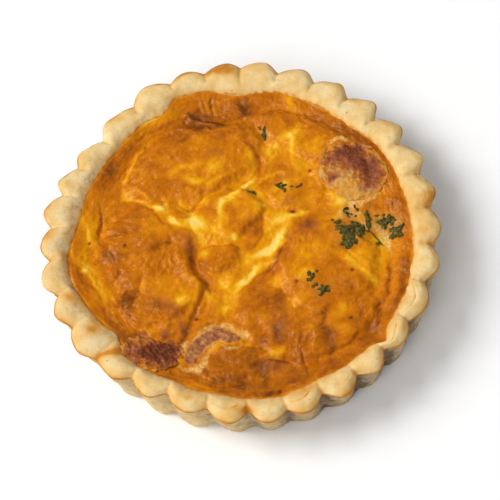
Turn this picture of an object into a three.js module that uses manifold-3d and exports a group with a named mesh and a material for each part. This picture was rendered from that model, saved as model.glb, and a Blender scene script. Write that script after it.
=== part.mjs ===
// A single-serving quiche, out of its tin: a fluted shortcrust case holding baked custard,
// with lumps of ham, a strip of ham and sprigs of parsley on top.
// Millimetres, +Z up, origin at the middle of the flat base.
// Bearings are degrees clockwise from +Y, seen from above.

import * as THREE from 'three';
import Module from 'manifold-3d';
import { mergeVertices } from 'three/addons/utils/BufferGeometryUtils.js';

const wasm = await Module();
wasm.setup();

// ---- Case: driving dimensions
const rimRadius = 60.2; // to the tips of the flutes
const rimHeight = 20.8; // crest of the pastry rim
const lipHeight = 18.8; // where the fluted wall turns over into the rim
const fluteCount = 30;
const firstFlute = 13.8; // bearing of a flute's crest
const fluteDepthAtRim = 4.6;
const fluteDepthAtBase = 2.4;
const fluteRoundness = 0.68; // below 1, broad lobes with narrow grooves between them
const pointsPerFlute = 8;
const grooveDrop = 1.1; // how far the rim's top dips at a groove
const grooveReach = 0.62; // share of the rim, from the mouth, over which a groove deepens
const tinSlope = 0.2; // lean of the wall, outwards per unit of height
const baseCorner = 1.5; // rounding where the wall meets the base
const baseShift = { x: 1.0, y: 0.4 }; // the case has slumped a little sideways
const baseThickness = 3.2;
const cavityRadius = 51.2; // inside of the rim, at the cavity's mouth
const cavityMouth = 18;
const cavityCorner = 1.5;

// ---- Case: unevenness from hand work, each a smooth bump at a bearing
const rimDents = [
  { at: 215, by: -2.3, spread: 14 },
  { at: 318, by: -2.2, spread: 11 },
  { at: 178, by: 1.0, spread: 14 },
  { at: 270, by: 1.0, spread: 16 },
  { at: 342, by: 0.7, spread: 7 },
  { at: 10, by: 0.7, spread: 8 },
];
const fluteShifts = [
  { at: 80, by: -1.2, spread: 18 },
  { at: 135, by: 1.6, spread: 12 },
  { at: 190, by: -1.4, spread: 9 },
  { at: 254, by: 1.6, spread: 14 },
  { at: 312, by: -2.6, spread: 12 },
  { at: 346, by: 2.2, spread: 12 },
];
const cavityDents = [
  { at: 42, by: -1.4, spread: 12 },
  { at: 133, by: 2.2, spread: 16 },
  { at: 180, by: 2.2, spread: 10 },
  { at: 241, by: -1.7, spread: 9 },
  { at: 270, by: 1.9, spread: 9 },
  { at: 293, by: -1.0, spread: 10 },
  { at: 339, by: -1.2, spread: 7 },
  { at: 353, by: 1.8, spread: 7 },
];

// ---- Filling: driving dimensions
const clearance = 0.3; // between pieces that touch
const custardLevel = 16.9; // in the sunken valleys
const edgeBandRise = 1.3; // the custard climbs the pastry
const edgeBandWidth = 8;
const custardRings = 21; // loops of points over the top
const ringStep = 6; // more points in each loop than in the last
const skinWave = { by: 0.15, alongX: 5.7, alongY: 4.9 };
const wobble = { by: 1.1, wave: 9.5, startX: 0.6, startY: -1.1 }; // bends the puffed patches' outlines
const crinkle = { by: 0.5, short: 3.2, long: 4.5 }; // a finer bend on top of that
const patchEdge = { inside: 0.7, outside: 1.06 }; // where a patch's skin comes down to the valley
const patchPlateau = 0.7; // share of a patch's height that is level; the rest is domed
const patchFade = { from: 1, to: 7 }; // patches come up over this distance from the pastry

// Where the skin has puffed up: centre, half length, half width, turn and height
const puffs = [
  { x: -11, y: 28.5, long: 22, wide: 13.5, turn: 8, height: 2.2 },
  { x: -27, y: 2, long: 15, wide: 18, turn: -12, height: 2.1 },
  { x: -27, y: -14, long: 14, wide: 10, turn: 10, height: 1.9 },
  { x: 23, y: -14, long: 16, wide: 19, turn: -20, height: 2.4 },
  { x: -3, y: 7.5, long: 12.5, wide: 9, turn: 15, height: 1.7 },
  { x: -8, y: -6.5, long: 6.5, wide: 5, turn: 0, height: 1.7 },
  { x: 18, y: -33, long: 20, wide: 10, turn: 15, height: 1.9 },
  { x: -8, y: -41, long: 14, wide: 6, turn: -8, height: 1.3 },
  { x: 24, y: 33, long: 17, wide: 8, turn: -30, height: 1.5 },
  { x: 20, y: 13, long: 9, wide: 6, turn: 10, height: 0.8 },
  { x: 1, y: -26, long: 12, wide: 7, turn: 20, height: 1.1 },
];

// ---- Toppings: driving dimensions
const hamLumps = {
  ham_lump_right: { x: 36.6, y: 15.4, z: 16.8, long: 10.4, wide: 8.9, tall: 3.5, turn: -45, seed: 1.3 },
  ham_lump_left: { x: -31.4, y: -32.1, z: 16.6, long: 7.8, wide: 4.6, tall: 3.2, turn: -28, seed: 4.1 },
};
const lumpRoughness = 0.05;
const coarseWaves = { x: 3.1, y: 3.7 }; // round a lump
const fineWaves = { x: 7.3, y: 6.7, z: 5.9, share: 0.6 };
const hamStrip = {
  route: [[-21.8, -38], [-19.6, -34.6], [-16.8, -31.6], [-12.3, -29.4], [-8.8, -31.5], [-5.6, -32.8]],
  halfWidth: 2,
  halfHeight: 1.1,
};
const rodEnds = { start: 0.04, end: 0.96, roundness: 0.25 }; // a rod narrows close to its ends
const pocketSlack = 0.05; // a pocket in the custard is this much more than the clearance round its ham
const leafThickness = 0.5;
const leafClearance = 0.4;
const stemRadius = 0.4;

// Leaf blades: a middle, and lobes as direction (counter-clockwise from +X), reach and width
const sprigBlades = [
  {
    x: 33.4, y: -4.2, body: 1.9,
    lobes: [[0, 3.6, 16], [76, 3.8, 20], [138, 4.5, 19], [217, 5.2, 17], [259, 5.4, 17]],
  },
  { x: 38.7, y: -0.6, body: 0.7, lobes: [[95, 2.6, 24], [262, 2.8, 22]] },
];
const sprigStems = [
  [[36.2, -4.2], [38.7, -4.7], [40.4, -7.8], [41.7, -10.2]],
  [[38.6, -2.4], [38.3, -3.6], [38.0, -4.6]],
];
const looseBlades = {
  parsley_leaf_back: {
    x: 43.2, y: -2.3, body: 1.1, lobes: [[10, 2.6, 20], [70, 1.7, 22], [165, 2.2, 24], [260, 2.1, 22]],
  },
  parsley_leaf_edge: {
    x: 46.4, y: -6.6, body: 1.1, lobes: [[48, 2.8, 22], [120, 2.0, 22], [215, 2.6, 24], [300, 2.4, 22]],
  },
};

// Herb flecks and a crumb of ham baked into the skin: place, half length, half width, turn
const flecks = [
  { x: 12.0, y: 34.1, long: 1.8, wide: 1.2, turn: 60 },
  { x: 5.2, y: 14.8, long: 1.5, wide: 0.8, turn: 10 },
  { x: 13.6, y: 14.6, long: 1.3, wide: 0.9, turn: 120 },
  { x: 16.1, y: 14.1, long: 1.5, wide: 0.8, turn: 20 },
  { x: 19.9, y: 13.8, long: 1.2, wide: 0.8, turn: 70 },
  { x: 18.4, y: -16.6, long: 1.7, wide: 0.9, turn: 75 },
  { x: 20.9, y: -21.6, long: 2.0, wide: 1.1, turn: -15 },
  { x: -34.3, y: -25.6, long: 1.9, wide: 1.6, turn: 0 },
];
const fleckHalfHeight = 0.7;

// ---- Helpers
const weldDistance = 1e-5;
const rad = THREE.MathUtils.degToRad;
const { lerp, smoothstep } = THREE.MathUtils;

function atBearing(bearing, radius, z, shift = 0) {
  const x = radius * Math.sin(rad(bearing)) + shift * baseShift.x;
  const y = radius * Math.cos(rad(bearing)) + shift * baseShift.y;
  return new THREE.Vector3(x, y, z);
}

// Sum of smooth bumps at a bearing
function bumps(list, bearing) {
  return list.reduce((sum, { at, by, spread }) => {
    const away = THREE.MathUtils.euclideanModulo(bearing - at + 180, 360) - 180;
    return sum + by * Math.exp(-((away / spread) ** 2) / 2);
  }, 0);
}

// Points round a loop, counter-clockwise seen from above
function loop(count, pointAt) {
  return Array.from({ length: count }, (_, i) => pointAt(-(360 * i) / count));
}

// Triangles between neighbouring loops of points, which may differ in number; a lone point is a pole
function stitch(rings) {
  const faces = [];
  let start = 0;
  for (let n = 0; n + 1 < rings.length; n++) {
    const [below, above] = [rings[n].length, rings[n + 1].length];
    const low = (i) => start + (i % below);
    const high = (j) => start + below + (j % above);
    const [lowSteps, highSteps] = [below, above].map((count) => (count > 1 ? count : 0));
    let [i, j] = [0, 0];
    while (i < lowSteps || j < highSteps) {
      if (j === highSteps || (i < lowSteps && (i + 1) / lowSteps <= (j + 1) / highSteps)) {
        faces.push(low(i), low(i + 1), high(j));
        i += 1;
      } else {
        faces.push(low(i), high(j + 1), high(j));
        j += 1;
      }
    }
    start += below;
  }
  return faces;
}

function geometryOf(points, faces) {
  return new THREE.BufferGeometry().setFromPoints(points).setIndex(faces);
}

// A closed solid from loops of points, the first and the last of which are poles
function solidOfRings(rings) {
  return geometryOf(rings.flat(), stitch(rings));
}

// A thin solid on a sheet of loops, outline first and pole last: both faces have the same triangles
function thicken(rings, thickness) {
  const under = rings.flat();
  const over = under.map((point) => point.clone().setZ(point.z + thickness));
  const up = stitch(rings);
  const faces = [];
  for (let i = 0; i < up.length; i += 3) {
    const [a, b, c] = up.slice(i, i + 3);
    faces.push(a, c, b, a + under.length, b + under.length, c + under.length);
  }
  const outline = rings[0].length;
  for (let a = 0; a < outline; a++) {
    const b = (a + 1) % outline;
    faces.push(a, b, b + under.length, a, b + under.length, a + under.length);
  }
  return geometryOf([...under, ...over], faces);
}

function toSolid(geometry) {
  const bare = new THREE.BufferGeometry();
  bare.setAttribute('position', geometry.getAttribute('position'));
  if (geometry.index) bare.setIndex(geometry.index);
  const merged = mergeVertices(bare, weldDistance);
  return new wasm.Manifold(new wasm.Mesh({
    numProp: 3,
    vertProperties: new Float32Array(merged.getAttribute('position').array),
    triVerts: new Uint32Array(merged.index.array),
  }));
}

function toGeometry(solid) {
  const mesh = solid.getMesh();
  const geometry = new THREE.BufferGeometry();
  geometry.setAttribute('position', new THREE.BufferAttribute(mesh.vertProperties, 3));
  geometry.setIndex(new THREE.BufferAttribute(mesh.triVerts, 1));
  return geometry;
}

function fuse(geometries) {
  return toGeometry(geometries.map(toSolid).reduce((sum, solid) => sum.add(solid)));
}

// ---- Case
// 1 on the crest of a flute, 0 in the groove between two
function fluteAt(bearing) {
  const turns = (bearing - firstFlute - bumps(fluteShifts, bearing)) / (360 / fluteCount);
  return Math.abs(Math.cos(Math.PI * turns)) ** fluteRoundness;
}

function wallRadius(bearing, z) {
  const up = z / lipHeight;
  const depth = lerp(fluteDepthAtBase, fluteDepthAtRim, up);
  const tips = rimRadius + bumps(rimDents, bearing) * up - tinSlope * (lipHeight - z);
  return tips - depth * (1 - fluteAt(bearing));
}

function mouthRadius(bearing) {
  return cavityRadius + bumps(cavityDents, bearing);
}

function insideRadius(bearing, z) {
  return mouthRadius(bearing) - tinSlope * (cavityMouth - z);
}

// The rim's top: share of the way from the cavity's mouth to the lip, and height over the lip
const rimProfile = [
  { share: 1.02, rise: 0.45 },
  { share: 0.88, rise: 0.8 },
  { share: 0.62, rise: 1 },
  { share: 0.34, rise: 0.85 },
  { share: 0.12, rise: 0.4 },
];

function rimPoint(bearing, { share, rise }) {
  const radius = lerp(mouthRadius(bearing), wallRadius(bearing, lipHeight), share);
  const groove = grooveDrop * (1 - fluteAt(bearing)) * Math.min(1, share / grooveReach);
  return atBearing(bearing, radius, lipHeight + (rimHeight - lipHeight) * rise - groove);
}

function buildCrust() {
  const around = fluteCount * pointsPerFlute;
  const wall = (z) => loop(around, (b) => atBearing(b, wallRadius(b, z), z, 1 - z / lipHeight));
  const inside = (z) => loop(around, (b) => atBearing(b, insideRadius(b, z), z));
  const floorLoop = (b) => atBearing(b, insideRadius(b, baseThickness) - cavityCorner, baseThickness);
  return solidOfRings([
    [new THREE.Vector3(0, 0, 0)],
    loop(around, (b) => atBearing(b, wallRadius(b, 0) - baseCorner, 0, 1)),
    wall(baseCorner),
    wall(lipHeight / 2),
    wall(lipHeight),
    ...rimProfile.map((station) => loop(around, (b) => rimPoint(b, station))),
    inside(cavityMouth),
    inside(baseThickness + cavityCorner),
    loop(around, floorLoop),
    [new THREE.Vector3(0, 0, baseThickness)],
  ]);
}

// ---- Custard
// 1 in the middle of a patch, falling to 0 past its edge
function patchShape(away) {
  const plateau = 1 - smoothstep(away, patchEdge.inside, patchEdge.outside);
  const dome = Math.max(0, 1 - away * away);
  return lerp(dome, plateau, patchPlateau);
}

function puffLift(x, y) {
  const { by, short, long } = crinkle;
  const bendX = wobble.by * Math.sin(y / wobble.wave + wobble.startX);
  const bendY = wobble.by * Math.sin(x / wobble.wave + wobble.startY);
  const bentX = x + bendX + by * Math.sin(x / short + y / long);
  const bentY = y + bendY + by * Math.sin(y / short - x / long);
  return puffs.reduce((most, puff) => {
    const turn = rad(puff.turn);
    const [dx, dy] = [bentX - puff.x, bentY - puff.y];
    const along = (dx * Math.cos(turn) + dy * Math.sin(turn)) / puff.long;
    const across = (dy * Math.cos(turn) - dx * Math.sin(turn)) / puff.wide;
    return Math.max(most, puff.height * patchShape(Math.hypot(along, across)));
  }, 0);
}

function custardTop(x, y) {
  const radius = Math.hypot(x, y);
  const bearing = THREE.MathUtils.radToDeg(Math.atan2(x, y));
  const fromEdge = mouthRadius(bearing) - radius;
  const band = 1 - smoothstep(fromEdge, 0, edgeBandWidth);
  const lift = puffLift(x, y) * smoothstep(fromEdge, patchFade.from, patchFade.to);
  const wave = skinWave.by * Math.sin(x / skinWave.alongX) * Math.sin(y / skinWave.alongY);
  return custardLevel + Math.max(edgeBandRise * band, lift) + wave;
}

function buildCustard() {
  const around = custardRings * ringStep;
  const low = baseThickness + clearance;
  const floorLoop = (b) => atBearing(b, insideRadius(b, low) - cavityCorner - clearance, low);
  const wall = (b) => atBearing(b, insideRadius(b, low + cavityCorner) - clearance, low + cavityCorner);
  const top = (ring) => loop(ring * ringStep, (b) => {
    const point = atBearing(b, (mouthRadius(b) - clearance) * (ring / custardRings), 0);
    return point.setZ(custardTop(point.x, point.y));
  });
  return solidOfRings([
    [new THREE.Vector3(0, 0, low)],
    loop(around, floorLoop),
    loop(around, wall),
    ...Array.from({ length: custardRings }, (_, i) => top(custardRings - i)),
    [new THREE.Vector3(0, 0, custardTop(0, 0))],
  ]);
}

// ---- Toppings
// A crumbly lump: a ball flattened to its half sizes, roughened along its own radius
function buildLump({ x, y, z, long, wide, tall, turn, seed }, grow = 0) {
  const geometry = new THREE.IcosahedronGeometry(1, 3);
  const places = geometry.getAttribute('position');
  const point = new THREE.Vector3();
  for (let i = 0; i < places.count; i++) {
    point.fromBufferAttribute(places, i);
    const coarse = Math.sin(coarseWaves.x * point.x + seed) * Math.sin(coarseWaves.y * point.y + 2 * seed);
    const fine = Math.sin(fineWaves.x * point.x - seed)
      * Math.sin(fineWaves.y * point.y + fineWaves.z * point.z);
    const rough = 1 + lumpRoughness * (coarse + fineWaves.share * fine);
    point.multiplyScalar(rough).multiply(new THREE.Vector3(long + grow, wide + grow, tall + grow));
    places.setXYZ(i, point.x, point.y, point.z);
  }
  geometry.rotateZ(rad(turn));
  geometry.translate(x, y, z);
  return geometry;
}

// A flattened rod along a route over the custard
function buildRod(route, halfWidth, halfHeight, lift, steps = 14, sides = 10) {
  const corners = route.map(([x, y]) => new THREE.Vector3(x, y, 0));
  const curve = new THREE.CatmullRomCurve3(corners, false, 'centripetal');
  const placed = (share) => {
    const point = curve.getPointAt(share);
    point.z = custardTop(point.x, point.y) + lift;
    return point;
  };
  const ring = (share) => {
    const middle = placed(share);
    const ahead = curve.getTangentAt(share);
    const side = new THREE.Vector3(-ahead.y, ahead.x, 0);
    const taper = Math.sin(Math.PI * lerp(rodEnds.start, rodEnds.end, share)) ** rodEnds.roundness;
    return Array.from({ length: sides }, (_, k) => {
      const turn = (2 * Math.PI * k) / sides;
      const across = side.clone().multiplyScalar(Math.cos(turn) * halfWidth * taper);
      return middle.clone().add(across).setZ(middle.z + Math.sin(turn) * halfHeight * taper);
    });
  };
  const shares = Array.from({ length: steps }, (_, i) => (i + 0.5) / steps);
  return solidOfRings([[placed(0)], ...shares.map(ring), [placed(1)]]);
}

// A thin wavy leaf, lying just over the custard
function buildBlade({ x, y, body, lobes }, around = 26, ringCount = 3) {
  const reach = (direction) => body + lobes.reduce((sum, [at, length, width]) => {
    const away = THREE.MathUtils.euclideanModulo(direction - at + 180, 360) - 180;
    return sum + (length - body) * Math.exp(-((away / width) ** 2) / 2);
  }, 0);
  const pointAt = (direction, share) => {
    const radius = reach(direction) * share;
    const px = x + radius * Math.cos(rad(direction));
    const py = y + radius * Math.sin(rad(direction));
    return new THREE.Vector3(px, py, custardTop(px, py) + leafClearance);
  };
  const rings = Array.from({ length: ringCount }, (_, n) => {
    return Array.from({ length: around }, (_, k) => pointAt((360 * k) / around, 1 - n / ringCount));
  });
  return thicken([...rings, [pointAt(0, 0)]], leafThickness);
}

function buildSprig() {
  const stemLift = leafClearance + leafThickness / 2;
  const stems = sprigStems.map((route) => buildRod(route, stemRadius, stemRadius / 2, stemLift, 8, 6));
  return fuse([...sprigBlades.map((blade) => buildBlade(blade)), ...stems]);
}

function buildFleck({ x, y, long, wide, turn }) {
  const geometry = new THREE.IcosahedronGeometry(1, 1);
  geometry.scale(long, wide, fleckHalfHeight);
  geometry.rotateZ(rad(turn));
  geometry.translate(x, y, custardTop(x, y));
  return geometry;
}

// The custard with a pocket for each lump and the strip, and its flecks fused on
function buildFilling() {
  const { route, halfWidth, halfHeight } = hamStrip;
  const pockets = Object.values(hamLumps).map((lump) => buildLump(lump, clearance + pocketSlack));
  pockets.push(buildRod(route, halfWidth + clearance, halfHeight + clearance, 0));
  const risen = fuse([buildCustard(), ...flecks.map(buildFleck)]);
  return toGeometry(pockets.map(toSolid).reduce((left, pocket) => left.subtract(pocket), toSolid(risen)));
}

// ---- The quiche
const pastry = new THREE.MeshStandardMaterial({ color: 0xe8cf9c, roughness: 0.75, metalness: 0 });
const custard = new THREE.MeshStandardMaterial({ color: 0xd8860f, roughness: 0.4, metalness: 0 });
const ham = new THREE.MeshStandardMaterial({ color: 0x8a4a34, roughness: 0.7, metalness: 0 });
const parsley = new THREE.MeshStandardMaterial({ color: 0x4a4d1e, roughness: 0.6, metalness: 0 });

const quiche = new THREE.Group();

function addPiece(name, geometry, material) {
  const mesh = new THREE.Mesh(geometry, material);
  mesh.name = name;
  quiche.add(mesh);
}

addPiece('crust', buildCrust(), pastry);
addPiece('filling', buildFilling(), custard);
for (const [name, lump] of Object.entries(hamLumps)) {
  addPiece(name, buildLump(lump), ham);
}
addPiece('ham_strip', buildRod(hamStrip.route, hamStrip.halfWidth, hamStrip.halfHeight, 0), ham);
addPiece('parsley_sprig', buildSprig(), parsley);
for (const [name, blade] of Object.entries(looseBlades)) {
  addPiece(name, buildBlade(blade), parsley);
}

export default quiche;
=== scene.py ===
import math

import bpy
import numpy as np
from mathutils import Matrix, Vector


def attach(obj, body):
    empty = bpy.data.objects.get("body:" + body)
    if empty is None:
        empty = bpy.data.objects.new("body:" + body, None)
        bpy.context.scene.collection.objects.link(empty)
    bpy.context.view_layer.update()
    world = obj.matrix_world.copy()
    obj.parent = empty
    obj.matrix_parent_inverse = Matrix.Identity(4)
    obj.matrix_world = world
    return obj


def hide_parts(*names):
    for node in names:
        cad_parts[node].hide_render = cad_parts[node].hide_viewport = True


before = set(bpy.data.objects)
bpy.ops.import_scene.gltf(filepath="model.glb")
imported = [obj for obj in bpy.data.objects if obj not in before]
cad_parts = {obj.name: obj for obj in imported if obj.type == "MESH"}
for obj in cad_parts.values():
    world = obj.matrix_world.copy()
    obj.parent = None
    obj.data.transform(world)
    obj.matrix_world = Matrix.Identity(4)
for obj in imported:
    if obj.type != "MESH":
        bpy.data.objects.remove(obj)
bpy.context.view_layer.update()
print("frame loaded")

mm = 0.001  # sizes below are in millimetres; bearings are degrees clockwise from +Y


# small tools

def deselectAll():
    if bpy.context.object and bpy.context.object.mode != "OBJECT":
        bpy.ops.object.mode_set(mode="OBJECT")
    bpy.ops.object.select_all(action="DESELECT")


def editAll():
    bpy.ops.object.mode_set(mode="EDIT")
    bpy.ops.mesh.select_mode(type="VERT")
    bpy.ops.mesh.select_all(action="SELECT")


def getPoints(piece):
    flat = np.zeros(len(piece.data.vertices) * 3)
    piece.data.vertices.foreach_get("co", flat)
    return flat.reshape(-1, 3)


def setPoints(piece, points):
    piece.data.vertices.foreach_set("co", (np.asarray(points) * mm).ravel())
    piece.data.update()


def paint(piece, name, values):
    # a value for each vertex, which the material reads by name
    layer = piece.data.attributes.new(name, "FLOAT", "POINT")
    layer.data.foreach_set("value", np.asarray(values, dtype=np.float32))


def smoothStep(value, low, high):
    t = np.clip((value - low) / (high - low), 0, 1)
    return t * t * (3 - 2 * t)


def hump(away, width):
    return np.exp(-((away / width) ** 2))


def angleFrom(angle, middle):
    return (angle - middle + 180) % 360 - 180


def bearingBumps(bumps, bearing):
    return sum(by * hump(angleFrom(bearing, at), spread * math.sqrt(2)) for at, by, spread in bumps)


def lumpyNoise(points, size, seed):
    # gradient noise with bumps of about that size, from -1 to 1
    table = np.random.default_rng(seed).normal(size=(4096, 3))
    table /= np.linalg.norm(table, axis=1)[:, None]
    place = points / size + 17.31 * seed
    cell = np.floor(place).astype(np.int64)
    part = place - cell
    fade = part ** 3 * (part * (part * 6 - 15) + 10)
    total = np.zeros(len(points))
    for corner in np.ndindex(2, 2, 2):
        mixed = (cell + corner) * (73856093, 19349663, 83492791)
        key = (mixed[:, 0] ^ mixed[:, 1] ^ mixed[:, 2]) & 4095
        weight = np.prod(np.where(corner, fade, 1 - fade), axis=1)
        total += weight * np.sum(table[key] * (part - corner), axis=1)
    return 1.5 * total


def alongStroke(x, y, route, width):
    # 1 on a route over the top, falling off sideways and fading out at its ends
    nearest = np.full(len(x), 1e9)
    place = np.zeros(len(x))
    lengths = [math.dist(a, b) for a, b in zip(route, route[1:])]
    run = 0
    for (ax, ay), (bx, by), length in zip(route, route[1:], lengths):
        dx, dy = bx - ax, by - ay
        t = np.clip(((x - ax) * dx + (y - ay) * dy) / length ** 2, 0, 1)
        away = np.hypot(x - ax - t * dx, y - ay - t * dy)
        closer = away < nearest
        nearest = np.where(closer, away, nearest)
        place = np.where(closer, (run + t * length) / sum(lengths), place)
        run += length
    middle = np.sin(math.pi * np.clip(place, 0.03, 0.97)) ** 0.4
    return hump(nearest, width * (0.4 + 0.6 * middle)) * middle


def ovalAway(x, y, oval):
    # 0 in the middle of an oval, 1 on its outline
    turn = math.radians(oval[4])
    dx, dy = x - oval[0], y - oval[1]
    along = (dx * math.cos(turn) + dy * math.sin(turn)) / oval[2]
    across = (dy * math.cos(turn) - dx * math.sin(turn)) / oval[3]
    return np.hypot(along, across)


def marksAt(x, y, marks, spread=1):
    # each mark is an oval: x, y, half length, half width, turn, how much
    return sum(mark[5] * hump(ovalAway(x, y, mark), spread) for mark in marks)


def strokesAt(x, y, strokes):
    # each stroke is a route, a width, and how much
    return sum(much * alongStroke(x, y, route, width) for route, width, much in strokes)


# the pastry case

case = {
    "around": 840,          # points round the rim, a multiple of the flutes
    "rimRadius": 60.2,      # to the tips of the flutes
    "rimHeight": 20.8,
    "lipHeight": 18.8,      # where the wall turns over into the rim
    "lipOverhang": 0.45,
    "flutes": 30,
    "firstFlute": 13.8,
    "fluteDepthAtRim": 4.6,
    "fluteDepthAtBase": 2.4,
    "grooveSoftness": 0.03,
    "grooveDrop": 1.1,
    "fluteWidth": 12.3,
    "creaseDepth": 0.45,    # the sharp line along the bottom of each groove
    "crownShare": 0.6,      # where the rim is highest, from the cavity's mouth (0) to the lip (1)
    "lipDrop": 1.5,
    "tinSlope": 0.2,
    "baseCorner": 1.5,
    "baseShift": (1.0, 0.4),
    "baseThickness": 3.2,
    "cavityRadius": 51.2,
    "cavityMouth": 18.8,
    "cavityCorner": 1.5,
    "doughLumps": [(0.34, 7), (0.2, 2.6), (0.05, 1.1)],    # height, size
    "pitDepth": 0.45,       # in the wall, where it lay in the tin
    # bearing, how much, spread
    "rimDents": [
        (215, -2.3, 14), (318, -2.2, 11), (178, 1.0, 14), (270, 1.0, 16), (342, 0.7, 7), (10, 0.7, 8),
    ],
    "fluteShifts": [
        (80, -1.2, 18), (135, 1.6, 12), (190, -1.4, 9), (254, 1.6, 14), (312, -2.6, 12), (346, 2.2, 12),
    ],
    "cavityDents": [
        (42, -1.4, 12), (133, 2.2, 16), (180, 2.2, 10), (241, -1.7, 9), (270, 1.9, 9), (293, -1.0, 10),
        (339, -1.2, 7), (353, 1.8, 7),
    ],
    # the custard's edge runs unevenly over the pastry
    "spills": [
        (138.6, 2.3, 1.7), (345.5, 1.5, 2.4), (339, -0.6, 2), (9, -0.9, 4), (176, 0.5, 2), (128, -0.5, 3),
        (230, 0.9, 4), (60, 0.4, 3), (313, -1.5, 9), (6, -1.1, 8), (158, 0.5, 8), (287, -0.6, 5),
        (54, -0.5, 6), (213, -0.5, 4), (152, 0.4, 4), (238, -1.3, 3), (320, -0.8, 5), (4, -0.6, 6),
        (86, -0.5, 5), (283, -0.4, 6),
    ],
    # the grooves die out here on the rim
    "shallows": [
        (236, -0.55, 7), (6, -0.25, 8), (350, -0.35, 7), (337, -0.25, 6),
    ],
    # where the crests lean one way or the other: bearing, share of a flute, spread
    "leans": [
        (320, 0.16, 25), (35, -0.14, 30), (75, -0.08, 20), (240, 0.08, 20),
    ],
    "lobeSeed": 30,
}
lobeRandom = np.random.default_rng(case["lobeSeed"])
lobes = {
    "reach": lobeRandom.uniform(-0.5, 0.35, case["flutes"]),    # beyond the even rim
    "height": lobeRandom.uniform(-0.35, 0.25, case["flutes"]),
    "depth": lobeRandom.uniform(0.72, 1.12, case["flutes"]),    # of the groove after it
    "roundness": lobeRandom.uniform(0.62, 0.95, case["flutes"]),
    "arcDepth": lobeRandom.uniform(0.0, 0.3, case["flutes"]),   # the fold across a lobe
    "arcShare": lobeRandom.uniform(0.5, 0.75, case["flutes"]),  # where it lies, mouth to lip
}


def fluteTurns(bearing):
    shifted = bearing - case["firstFlute"] - bearingBumps(case["fluteShifts"], bearing)
    return shifted / (360 / case["flutes"])


def lobeValue(name, bearing):
    return lobes[name][np.round(fluteTurns(bearing)).astype(int) % case["flutes"]]


def leaning(bearing):
    # place between the grooves, -0.5 to 0.5, with 0 on the crest
    turns = fluteTurns(bearing)
    u = turns - np.round(turns)
    return u + bearingBumps(case["leans"], bearing) * (1 + np.cos(2 * math.pi * u)) / 2


def fluteAt(bearing):
    # 1 on the crest of a flute, 0 in the groove between two
    wave = np.cos(math.pi * leaning(bearing)) ** 2
    soft = case["grooveSoftness"]
    return ((wave + soft) / (1 + soft)) ** (lobeValue("roundness", bearing) / 2)


def grooveValue(bearing):
    turns = np.floor(fluteTurns(bearing)).astype(int)
    u = fluteTurns(bearing) - turns - 0.5
    near = smoothStep(0.5 - np.abs(u), 0, 0.25)
    shallow = 1 + bearingBumps(case["shallows"], bearing)
    return shallow * (1 + (lobes["depth"][turns % case["flutes"]] - 1) * near)


def wallRadius(bearing, z):
    up = z / case["lipHeight"]
    depth = case["fluteDepthAtBase"] + (case["fluteDepthAtRim"] - case["fluteDepthAtBase"]) * up
    tips = case["rimRadius"] - case["tinSlope"] * (case["lipHeight"] - z)
    uneven = bearingBumps(case["rimDents"], bearing) + lobeValue("reach", bearing) * fluteAt(bearing)
    return tips + up * uneven - depth * (1 - fluteAt(bearing)) * grooveValue(bearing)


def mouthRadius(bearing):
    mouth = case["cavityRadius"] + bearingBumps(case["cavityDents"] + case["spills"], bearing)
    turn = np.radians(bearing)
    circle = np.column_stack((np.sin(turn), np.cos(turn), 0 * turn)) * case["cavityRadius"]
    return mouth + 0.3 * lumpyNoise(circle, 3.5, 8) + 0.14 * lumpyNoise(circle, 1.2, 9)


def insideRadius(bearing, z):
    return mouthRadius(bearing) - case["tinSlope"] * (case["cavityMouth"] - z)


def nearSide(bearing):
    # the rim is crimped deepest from the front round to the right
    return hump(angleFrom(bearing, 175), 75)


def foldSide(bearing):
    # the lobes are folded across on this side
    return hump(angleFrom(bearing, 155), 60)


def foldShare(bearing):
    # where the fold across a lobe lies, from the cavity's mouth (0) to the lip (1)
    u = leaning(bearing)
    share = lobeValue("arcShare", bearing)
    return share - 0.9 * u * u + 0.5 * u * np.sin(9 * share * math.pi)


def rimTop(bearing, share):
    # height of the rim's top, from the cavity's mouth (0) to the lip (1)
    flute = fluteAt(bearing)
    u = fluteTurns(bearing) - np.round(fluteTurns(bearing))
    crown = case["crownShare"]
    rise = (case["rimHeight"] - case["cavityMouth"]) * (1 - np.abs(1 - share / crown) ** 2.2)
    drop = case["lipDrop"] * np.clip((share - crown) / (1 - crown), 0, 1) ** 2.4
    height = np.where(share < crown, case["cavityMouth"] + rise, case["rimHeight"] - drop)
    height += lobeValue("height", bearing) * flute * smoothStep(share, 0.1, crown)
    reach = 0.42 - 0.3 * nearSide(bearing)
    fade = smoothStep(share, reach - 0.2, reach + 0.3)
    height -= case["grooveDrop"] * (1 - flute) ** 1.2 * fade
    grooveAway = (0.5 - np.abs(u)) * case["fluteWidth"]
    height -= case["creaseDepth"] * hump(grooveAway, 0.55) * fade
    arc = foldShare(bearing)
    depth = lobeValue("arcDepth", bearing) * foldSide(bearing)
    height -= depth * hump(share - arc, 0.03) * flute
    height += 0.8 * depth * smoothStep(share, arc, arc + 0.12) * flute
    return height


def caseStations():
    # (zone, place in it) for each point of the section, from the middle underneath to the middle of the floor
    stations = [("under", t) for t in (0, 0.4, 0.75, 0.97)]
    stations += [("corner", t) for t in np.linspace(0, 1, 5)]
    stations += [("wall", t) for t in np.linspace(0, 1, 24)[1:]]
    stations += [("lip", t) for t in np.linspace(0, 1, 7)]
    stations += [("top", t) for t in np.linspace(1, 0, 40)[1:]]
    stations += [("inside", t) for t in (0.05, 0.12, 0.22, 0.5, 1)]
    stations += [("floor", t) for t in (1, 0.5, 0)]
    return stations


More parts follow.
